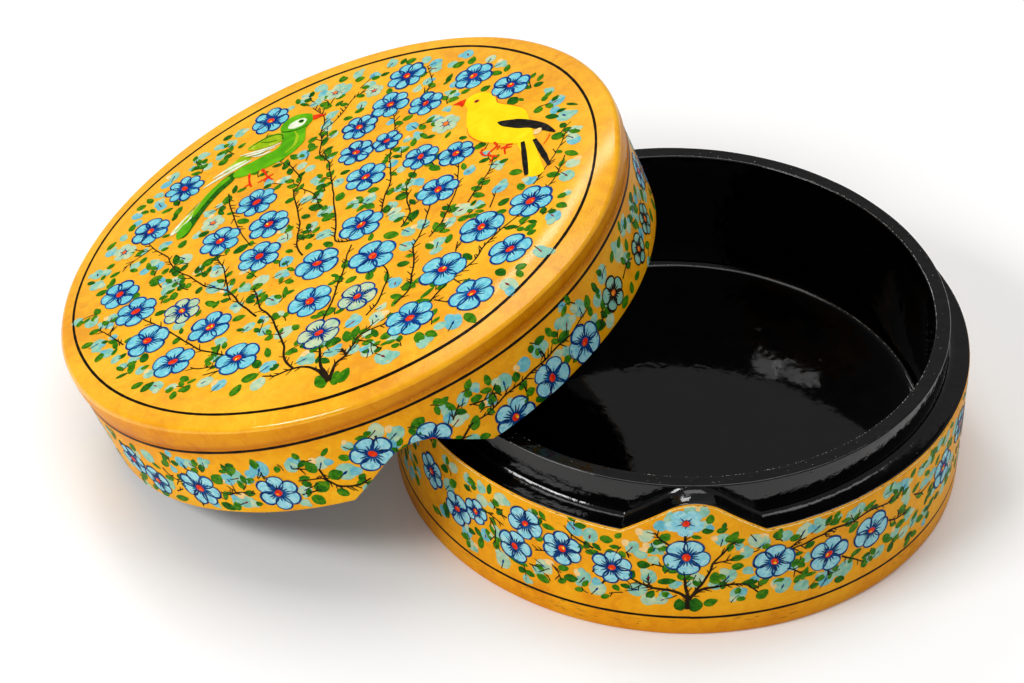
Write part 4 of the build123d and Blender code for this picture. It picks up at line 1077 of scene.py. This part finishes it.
def parrot_tail(layer):
    """The long tail, down to the left: a dark shape with pale and green feathers over it."""
    tail = [(-24.8, 35), (-27.7, 33.5), (-30.1, 31.1), (-32, 28.6), (-34.5, 26.2), (-36.9, 22.8),
            (-37.9, 19.9), (-38.4, 17.5), (-37.4, 15.8), (-35.9, 16), (-34.5, 18.4), (-33, 21.4),
            (-31.1, 24.8), (-28.2, 28.6), (-24.8, 32)]
    layer.area("moss", tail, 5)
    pale = [(-32.5, 27.9), (-35, 25), (-37.4, 22.4), (-39.6, 19.4), (-39.8, 18.2), (-38.3, 18.7),
            (-35.7, 21.4), (-33.6, 24.2), (-31.6, 26.9)]
    layer.area("white", pale, 5.8)
    feather = [(-31.5, 28.6), (-34, 25.4), (-36.4, 22), (-38.6, 19.2)]
    layer.stroke("lime", feather, [0.4, 0.9, 0.9, 0.4], 6.2)
    feather = [(-26, 33.6), (-29.6, 30.6), (-32.4, 26.8), (-34.6, 22.6)]
    layer.stroke("parrot", feather, [1.2, 1.6, 1.5, 0.8], 6.4)
    layer.oval("parrot", -36.6, 18.4, 3.0, 1.5, math.radians(62), 6.6, 14)


def parrot_wings(layer):
    """Two wings of lime and white feathers."""
    wing = [(-21.8, 42.7), (-20.4, 43.7), (-17.5, 44.7), (-14.6, 44.7), (-13.1, 43.7), (-13, 41.7),
            (-13.8, 40.8), (-16.5, 40.4), (-19.4, 40.8), (-21.2, 41.6)]
    layer.area("lime", wing, 6.2)
    edge = [(-21.4, 42.6), (-18.6, 44), (-15.4, 44.4), (-13.4, 43.4), (-13.2, 41.4)]
    layer.stroke("leaf", edge, [0.3, 0.5, 0.5, 0.4], 6.8)
    layer.stroke("leaf", [(-18.6, 43.4), (-16.6, 42.2), (-14.4, 41.8)], [0.2, 0.4, 0.2], 6.8)
    for feather in ([(-23.6, 40.8), (-20, 40.2), (-16.6, 39.9), (-13.6, 40.2)],
                    [(-22.4, 39.8), (-19, 39.2), (-15, 39.3)], [(-20.6, 38.6), (-18, 38), (-16, 38.3)]):
        layer.stroke("white", feather, [0.25, 0.7, 0.6, 0.3], 6.4)
    wing = [(-27.8, 36.3), (-25.2, 38.8), (-23, 40.4), (-21, 38.8), (-21.6, 37.4), (-25, 36.4)]
    layer.area("lime", wing, 6.5)
    for feather in ([(-20.8, 37.4), (-25, 36), (-29, 34.4), (-32.4, 32.8)],
                    [(-22, 38.0), (-26, 37.1), (-30, 35.3)]):
        layer.stroke("white", feather, [0.4, 1.0, 0.9, 0.3], 6.9)
    layer.stroke("leaf", [(-22, 38.9), (-19.4, 38.6), (-16.4, 39.2)], [0.15, 0.3, 0.15], 7.2)


def parrot(layer):
    """A parrot standing among the sprays."""
    parrot_tail(layer)
    body = [(-5.9, 46.2), (-6.1, 44.7), (-7.5, 42.7), (-7.6, 39.8), (-8, 37.4), (-9.7, 35.4), (-12.1, 33.7),
            (-15.5, 32.4), (-19.4, 31.9), (-22.3, 31.8), (-24.7, 32.5), (-25, 34.4), (-23, 36), (-20.9, 36.4),
            (-17.5, 37.4), (-14.6, 38.3), (-13.4, 40.3), (-13.3, 43.7), (-13.9, 45.8), (-13.2, 47.8),
            (-11.5, 49.1), (-9.5, 49.4), (-7.4, 48.6), (-6.1, 47.5)]
    layer.area("parrot", body, 5.4)
    layer.stroke("lime", [(-12.5, 35.4), (-10.3, 37.4), (-9.6, 40.5), (-10.3, 43)], [0.3, 0.8, 0.8, 0.3], 6.0)
    layer.stroke("moss", [(-13.6, 44.6), (-11.6, 43.6), (-9, 43.3), (-7, 43.6)], [0.35, 0.5, 0.4, 0.25], 6.1)
    parrot_wings(layer)
    layer.oval("white", -9.6, 45.7, 2.3, 1.6, math.radians(8), 6.6, 16)
    layer.oval("parrot", -8.9, 46.0, 0.95, 0.85, 0, 7.2, 12)
    layer.oval("soot", -8.8, 46.1, 0.62, 0.55, 0, 7.8, 12)
    beak = [(-5.9, 46.8), (-4.4, 46.4), (-2.6, 45.3), (-4.2, 45.1), (-5.7, 44.9), (-5.9, 45.8)]
    layer.area("red", beak, 6.4)
    for leg in ([(-21.1, 32.2), (-21.1, 30), (-20.9, 27.7)], [(-18, 32.2), (-17.2, 30.1), (-16.5, 27.7)]):
        layer.stroke("red", leg, [0.9, 0.45, 0.5], 4.6)
    for toe in ([(-20.9, 27.9), (-22.4, 27.2)], [(-20.9, 27.8), (-20.5, 26.5)], [(-16.5, 28), (-19, 27.2)],
                [(-16.5, 27.8), (-17.4, 26.6)], [(-16.6, 28), (-15.2, 28.6)], [(-16.4, 27.8), (-15.3, 26.3)]):
        layer.stroke("red", toe, [0.6, 0.4], 4.8, step=0.5)


def canary(layer):
    """A canary with a black wing and two black tail feathers."""
    tail = [(43, 6.4), (43.6, 2), (44.4, -4), (45, -8.2), (46.6, -9.2), (48.6, -8.4), (48, -4), (47.2, 1),
            (46.8, 6)]
    layer.area("canary", tail, 4.8)
    body = [(33.4, 31.6), (31.6, 30.8), (30.7, 28.8), (31.4, 26.7), (31.2, 24.3), (31.1, 20.9), (31.3, 17.5),
            (32.4, 14.6), (34.4, 11.7), (37.4, 9.2), (40.4, 7.2), (43, 5.7), (46, 4.8), (46.6, 7),
            (46.2, 10.2), (45.8, 13), (45.3, 16.4), (44.6, 18.6), (43, 20.6), (40.8, 22.6), (38.9, 24.3),
            (38.2, 25.7), (37.9, 28.2), (36.4, 30.2), (35, 31.2)]
    layer.area("canary", body, 5.2)
    back = [(37.7, 29.2), (38.3, 26.6), (38.6, 24.9), (40.6, 22.9), (43, 20.8), (44.8, 18.6)]
    layer.stroke("orange", back, [0.1, 0.22, 0.1, 0.2, 0.1], 5.8)
    layer.stroke("orange", [(31.2, 19), (31.6, 16), (33.2, 13), (35.6, 10.4)], [0.1, 0.25, 0.25, 0.1], 5.8)
    beak = [(27.9, 30.3), (29.6, 30.8), (31.1, 30.9), (30.8, 29.4), (30.1, 28.2), (29.4, 29.4)]
    layer.area("red", beak, 6, smooth=False)
    layer.dot("orange", 33.6, 28.4, 0.72, 5.9)
    layer.dot("soot", 33.6, 28.4, 0.48, 6.6)
    wing = [(38.3, 17.1), (40.5, 16.5), (42.2, 15.8), (43.2, 15.4), (46, 13.3), (49.5, 9.7), (51.6, 5.5),
            (51, 5.4), (48.5, 7.7), (45.5, 10.4), (43.0, 11.7), (40.7, 13.6), (39.2, 15)]
    layer.area("soot", wing, 6.4)
    for feather in ([(40.2, 15.9), (43, 13.4), (46, 10.9)], [(41.4, 15.6), (45, 12.6), (48.4, 9)]):
        layer.stroke("line", feather, [0.12, 0.2, 0.1], 7.0)
    layer.stroke("soot", [(44.0, 5.8), (44.2, 2), (44.4, -3), (44.6, -7.6)], [1.0, 1.25, 1.3, 1.0], 6)
    layer.stroke("soot", [(46.7, 5.2), (47.6, 2), (48.8, -2.4), (49.9, -6.8)], [0.9, 1.3, 1.4, 0.8], 6)
    layer.oval("peach", 47.6, 7.9, 1.3, 1.0, math.radians(60), 6.1)
    layer.stroke("orange", [(50.4, 5.4), (49.7, 3.6), (48.7, 1.9)], [0.2, 0.45, 0.2], 6)
    for toe in ([(37.4, 9.6), (38, 7.8), (36, 5.8), (37, 3.9), (36.2, 2.3)],
                [(34.2, 7.8), (35, 5.8), (36.6, 5.2)], [(34.3, 8.2), (35.6, 8.4)], [(38.7, 7.5), (38, 6.3)],
                [(36.9, 4.6), (38.2, 3.4)],
                [(41.7, 6.3), (40.4, 6.7), (39.8, 5.4), (39.9, 3.4)], [(40.2, 5.8), (41.4, 5.4)],
                [(38.9, 6.2), (40, 6.3)]):
        layer.stroke("red", toe, [0.6, 0.55, 0.35], 5.4, step=0.5)


def face_painting():
    """The painting on the lid's face: sprays of blossom from one trunk, and the two birds."""
    layer = Layer("lid_face", on_top, "lid")
    plant(layer, TOP_STEMS, TOP_LEAVES, TOP_BUDS)
    fill_top(layer)
    for x, y, r, petals, phase in TOP_FLOWERS:
        flower(layer, x, y, r * 1.05, petals, phase)
    for x, y, r, petals, phase in TOP_PALE:
        large = r > 4
        flower(layer, x, y, r, petals, phase, "mist", "red" if large else "orange", outline=large, spot=large)
    ring_line(layer)
    parrot(layer)
    canary(layer)
    layer.finish()


# Bands round the sides -------------------------------------------------------


def band(layer, stems, flowers, leaves, buds, low, high, first, last, fade_from=math.inf):
    """The listed front of a band, with sprigs in its gaps; flowers past fade_from are small and faded."""
    plant(layer, stems, leaves, buds)
    tries, apart = 900, 6.4
    taken = []
    for _ in range(tries):
        x, y = rng.uniform(first, last), rng.uniform(low, high)
        if clear_of(x, y, flowers, 0.9, 0.8) and all(math.hypot(x - p, y - q) > apart for p, q in taken):
            taken.append((x, y))
            sprig(layer, x, y, rng.uniform(0, 6.28), rng.uniform(1.8, 3.0))
    for x, y, r, petals, phase in flowers:
        if x > fade_from:
            flower(layer, x, y, r * 0.78, petals, phase, "bud", "orange", "stem")
        else:
            flower(layer, x, y, r * 0.98, petals, phase, "teal", "red", "ink")


def branch(layer, start, end, low, high):
    """A zigzag of blossoms on one long branch, and what was painted: their places and radii."""
    s, crowns = start, []
    while s < end - 4:
        z = low + (high - low) * (0.30 if len(crowns) % 2 else 0.68) + rng.uniform(-1, 1)
        crowns.append((s, z, rng.uniform(4.3, 5.0)))
        s += rng.uniform(9.6, 11.8)
    line = [(x, z + (4.6 if k % 2 else -4.6)) for k, (x, z, _) in enumerate(crowns)]
    stem(layer, line, (0.36, 0.3), 0.4)
    for x, z, r in crowns:
        side = rng.choice((-1, 1))
        twig = [(x + side * 2, z - r), (x + side * 4.6, z + rng.uniform(-6, -3)), (x + side * 7, z - 1)]
        stem(layer, twig, (0.3, 0.18))
        flower(layer, x, z, r * 0.9, rng.choice((5, 5, 6)), rng.uniform(50, 110), "teal", ink="ink")
    return crowns


def meadow(layer, start, end, low, high):
    """Go on with the same planting at the back, where the listed places stop."""
    tries = 22                   # for each millimetre along the arc
    taken = [(x, z, r + 0.6) for x, z, r in branch(layer, start, end, low, high)]
    for _ in range(round((end - start) * tries)):
        x, z = rng.uniform(start, end), rng.uniform(low, high)
        size = rng.uniform(1.0, 1.7)
        if all((x - a) ** 2 + (z - b) ** 2 > (c + size * 0.9) ** 2 for a, b, c in taken):
            taken.append((x, z, size * 0.95))
            if rng.random() < 0.58:
                leaf(layer, x, z, rng.uniform(0, 3.14), size, size * rng.uniform(0.5, 0.8))
            else:
                bud(layer, x, z, rng.uniform(0, 3.14), size, rng.choice((0, 0, 1, 1, 2)))


def lid_side_painting():
    """The band round the lid, its line under the seam, and painted shadow in the seam's crack."""
    line_height, seam_shadow_height = 17.4, 17.9
    dip, dip_at, dip_wide = 1.5, 42, 34  # the line dips at the front right: millimetres, then degrees
    layer = Layer("lid_side", on_lid, "lid")
    band(layer, LID_STEMS, LID_FLOWERS, LID_LEAVES, LID_BUDS, 2.0, 14.5, -64, 97, fade_from=58)
    meadow(layer, 99, 321, 1.0, 15.2)
    line = []
    for turn in range(0, 375, 15):
        off = (turn - dip_at + 180) % 360 - 180
        line.append((math.radians(turn) * DRUM, line_height - dip * math.exp(-((off / dip_wide) ** 2))))
    layer.stroke("line", line, [0.66, 0.8, 0.6, 0.72], LINE_LEVEL, step=1.5)
    # Brown strokes along the crack: painted shadow in the seam
    for _ in range(30):
        s = rng.uniform(8, 96)
        start = (s, seam_shadow_height + rng.uniform(-0.15, 0.1))
        tip = (s + rng.uniform(2, 5), seam_shadow_height + rng.uniform(-0.15, 0.15))
        layer.stroke("scuff_and_shade", [start, tip], [0.08, rng.uniform(0.1, 0.26), 0.08], 0.8)
    layer.finish()


def base_cut(s):
    """Height of the base's cut edge over the table, at a place along the arc."""
    return float(cut_height(s / DRUM, DRUM, 0))


def foot_wear(layer):
    """Scuffs and rust-coloured spots round the foot, thickest at a few places."""
    for middle, spread, count in ((-31, 7, 34), (-52, 5, 12), (15, 3, 9), (55, 4, 10), (-16, 3, 6)):
        for _ in range(count):
            s, z = rng.gauss(middle, spread), rng.uniform(1.6, 4.6)
            tone = rng.choice(("scuff_and_shade", "rust"))
            tip = (s + rng.uniform(0.5, 2.6), z + rng.uniform(-0.3, 0.3))
            layer.stroke(tone, [(s, z), tip], [0.06, rng.uniform(0.12, 0.34), 0.06], 0.6, step=0.5)


def cut_edge_highlight(layer):
    """A painted highlight: a pale thread along the cut edge, sooty in places."""
    bead = []
    for k in range(-82, 83):
        s = k * 0.8
        bead.append((s, base_cut(s) - 0.62 + rng.uniform(-0.03, 0.03)))
    layer.stroke("cream_highlight", bead, [rng.uniform(0.12, 0.34) for _ in range(60)], 1.6, step=0.4)
    for _ in range(40):
        s = rng.uniform(-75, 80)
        long, wide = rng.uniform(0.2, 0.6), rng.uniform(0.08, 0.2)
        layer.oval("soot", s, base_cut(s) - 0.4, long, wide, 0, 2.2, 9, 0, 0.2)


def base_side_painting():
    """The band round the base, with a pale blossom in the tent, the line over the foot, wear, and a painted
    highlight along the cut edge.
    """
    layer = Layer("base_side", on_base, "base")
    band(layer, BASE_STEMS, BASE_FLOWERS, BASE_LEAVES, BASE_BUDS, 8.5, 27.0, -66, 77)
    layer.oval("teal", -4.6, 31.4, 1.8, 1.5, 0.4, 2.8)
    flower(layer, -1.8, 32.2, 4.0, 5, 55, "teal", outline=False, spot=False)
    meadow(layer, 79, 321, 8.0, 28.0)
    line_height, line_waver = 5.1, 0.12
    round_base = [TURN * DRUM * k / 60 for k in range(61)]
    line = [(s, line_height + line_waver * math.sin(0.05 * s)) for s in round_base]
    layer.stroke("line", line, [0.66, 0.56, 0.66], LINE_LEVEL, step=1.5)
    foot_wear(layer)
    cut_edge_highlight(layer)
    layer.finish()


def round_the_collar(radius, height):
    """A place function round the collar: along the arc, outwards from a radius, and up from a height."""
    def place(s, out, h):
        """Points on the collar, h millimetres over its surface."""
        return on_drum(BASE_AXES, np.asarray(s, float) / DRUM, radius + np.asarray(out, float), height + h)
    return place


def rim_glints():
    """Painted highlights: light specks for glints along the collar rim's inner edge, in stretches, and on its
    top.
    """
    layer = Layer("rim_glints", round_the_collar(COLLAR_IN, RIM - 0.02), "base")
    for _ in range(420):
        s = TURN * DRUM * rng.random()
        if math.sin(3 * s / DRUM) + math.sin(7 * s / DRUM + 1) > -0.9:
            out, long, wide = rng.uniform(0.3, 0.42), rng.uniform(0.06, 0.3), rng.uniform(0.03, 0.07)
            layer.oval("glint_specks", s, out, long, wide, 0, 0.6, 7, 0, 0.2)
    for _ in range(70):
        layer.dot("glint_specks", TURN * DRUM * rng.random(), rng.uniform(0.6, 3.0), rng.uniform(0.04, 0.1), 0.5)
    layer.finish()


def corner_glint():
    """Painted highlights: light specks for glints in the lacquer pooled round the floor."""
    layer = Layer("corner_glint", round_the_collar(COLLAR_IN - 0.7, FLOOR + 0.68), "base")
    for _ in range(230):
        s, out = TURN * DRUM * rng.random(), rng.uniform(-0.03, 0.05)
        long, wide = rng.uniform(0.1, 0.7), rng.uniform(0.03, 0.08)
        layer.oval("glint_specks", s, out, long, wide, 0, 1.2, 7, 0, 0.2)
    layer.finish()


face_painting()
lid_side_painting()
base_side_painting()
rim_glints()
corner_glint()

# Stage, light and camera, in metres -------------------------------------------


def white_floor():
    """The table: matt white, glowing a little so that its shadows stay light."""
    half, white = 3, (0.96, 0.96, 0.96, 1.0)
    mesh = bpy.data.meshes.new("floor")
    corners = [(-half, -half, 0), (half, -half, 0), (half, half, 0), (-half, half, 0)]
    mesh.from_pydata(corners, [], [(0, 1, 2, 3)])
    floor = bpy.data.objects.new("floor", mesh)
    bpy.context.scene.collection.objects.link(floor)
    shader = Shader("floor_white", Roughness=0.9, Specular_IOR_Level=0.1, Base_Color=white,
                    Emission_Color=(1, 1, 1, 1), Emission_Strength=0.06)
    mesh.materials.append(shader.mat)


def white_world(light, backdrop):
    """A white surrounding, weaker as light on the object than as the backdrop that the camera sees."""
    world = bpy.data.worlds.new("studio")
    bpy.context.scene.world = world
    world.use_nodes = True
    tree = world.node_tree
    back = tree.nodes["Background"]
    rays = tree.nodes.new("ShaderNodeLightPath")
    level = tree.nodes.new("ShaderNodeMapRange")
    tree.links.new(rays.outputs["Is Camera Ray"], level.inputs[0])
    level.inputs[3].default_value, level.inputs[4].default_value = light, backdrop
    tree.links.new(level.outputs[0], back.inputs["Strength"])
    back.inputs["Color"].default_value = (1, 1, 1, 1)


def softbox(name, where, aim, size, power):
    """A rectangular lamp, turned to a point."""
    data = bpy.data.lights.new(name, "AREA")
    data.shape, data.size, data.size_y, data.energy = "RECTANGLE", size[0], size[1], power
    lamp = bpy.data.objects.new(name, data)
    lamp.location = where
    lamp.rotation_mode = "QUATERNION"
    lamp.rotation_quaternion = (Vector(aim) - Vector(where)).to_track_quat("-Z", "Y")
    bpy.context.scene.collection.objects.link(lamp)


def photo_camera(where, turned, focal):
    """The photo's camera; turned is its rotation in degrees about X, Y and Z."""
    lens = bpy.data.cameras.new("camera")
    lens.sensor_width, lens.lens, lens.clip_start, lens.clip_end = 36.0, focal, 0.05, 20.0
    camera = bpy.data.objects.new("camera", lens)
    turns = Euler([math.radians(a) for a in turned])
    camera.matrix_world = Matrix.LocRotScale(Vector(where), turns, None)
    bpy.context.scene.collection.objects.link(camera)
    bpy.context.scene.camera = camera


white_floor()
white_world(0.28, 1.0)
softbox("overhead", (0.04, 0.25, 1.3), (-0.03, 0, 0.03), (1.2, 0.9), 8.5)
softbox("key", (-0.92, -0.45, 0.85), (-0.03, 0, 0.03), (0.42, 0.28), 5.6)
softbox("window", (-0.745, -0.68, 0.91), (0.02, 0.04, 0.02), (0.2, 0.3), 3.0)
softbox("back", (-0.42, 1.02, 0.94), (-0.03, 0, 0.05), (0.3, 0.3), 2.6)
photo_camera((-0.059937, -0.834427, 0.717827), (50.4816, -0.7213, -1.0051), 175.78)
bpy.context.scene.view_settings.view_transform = "Standard"
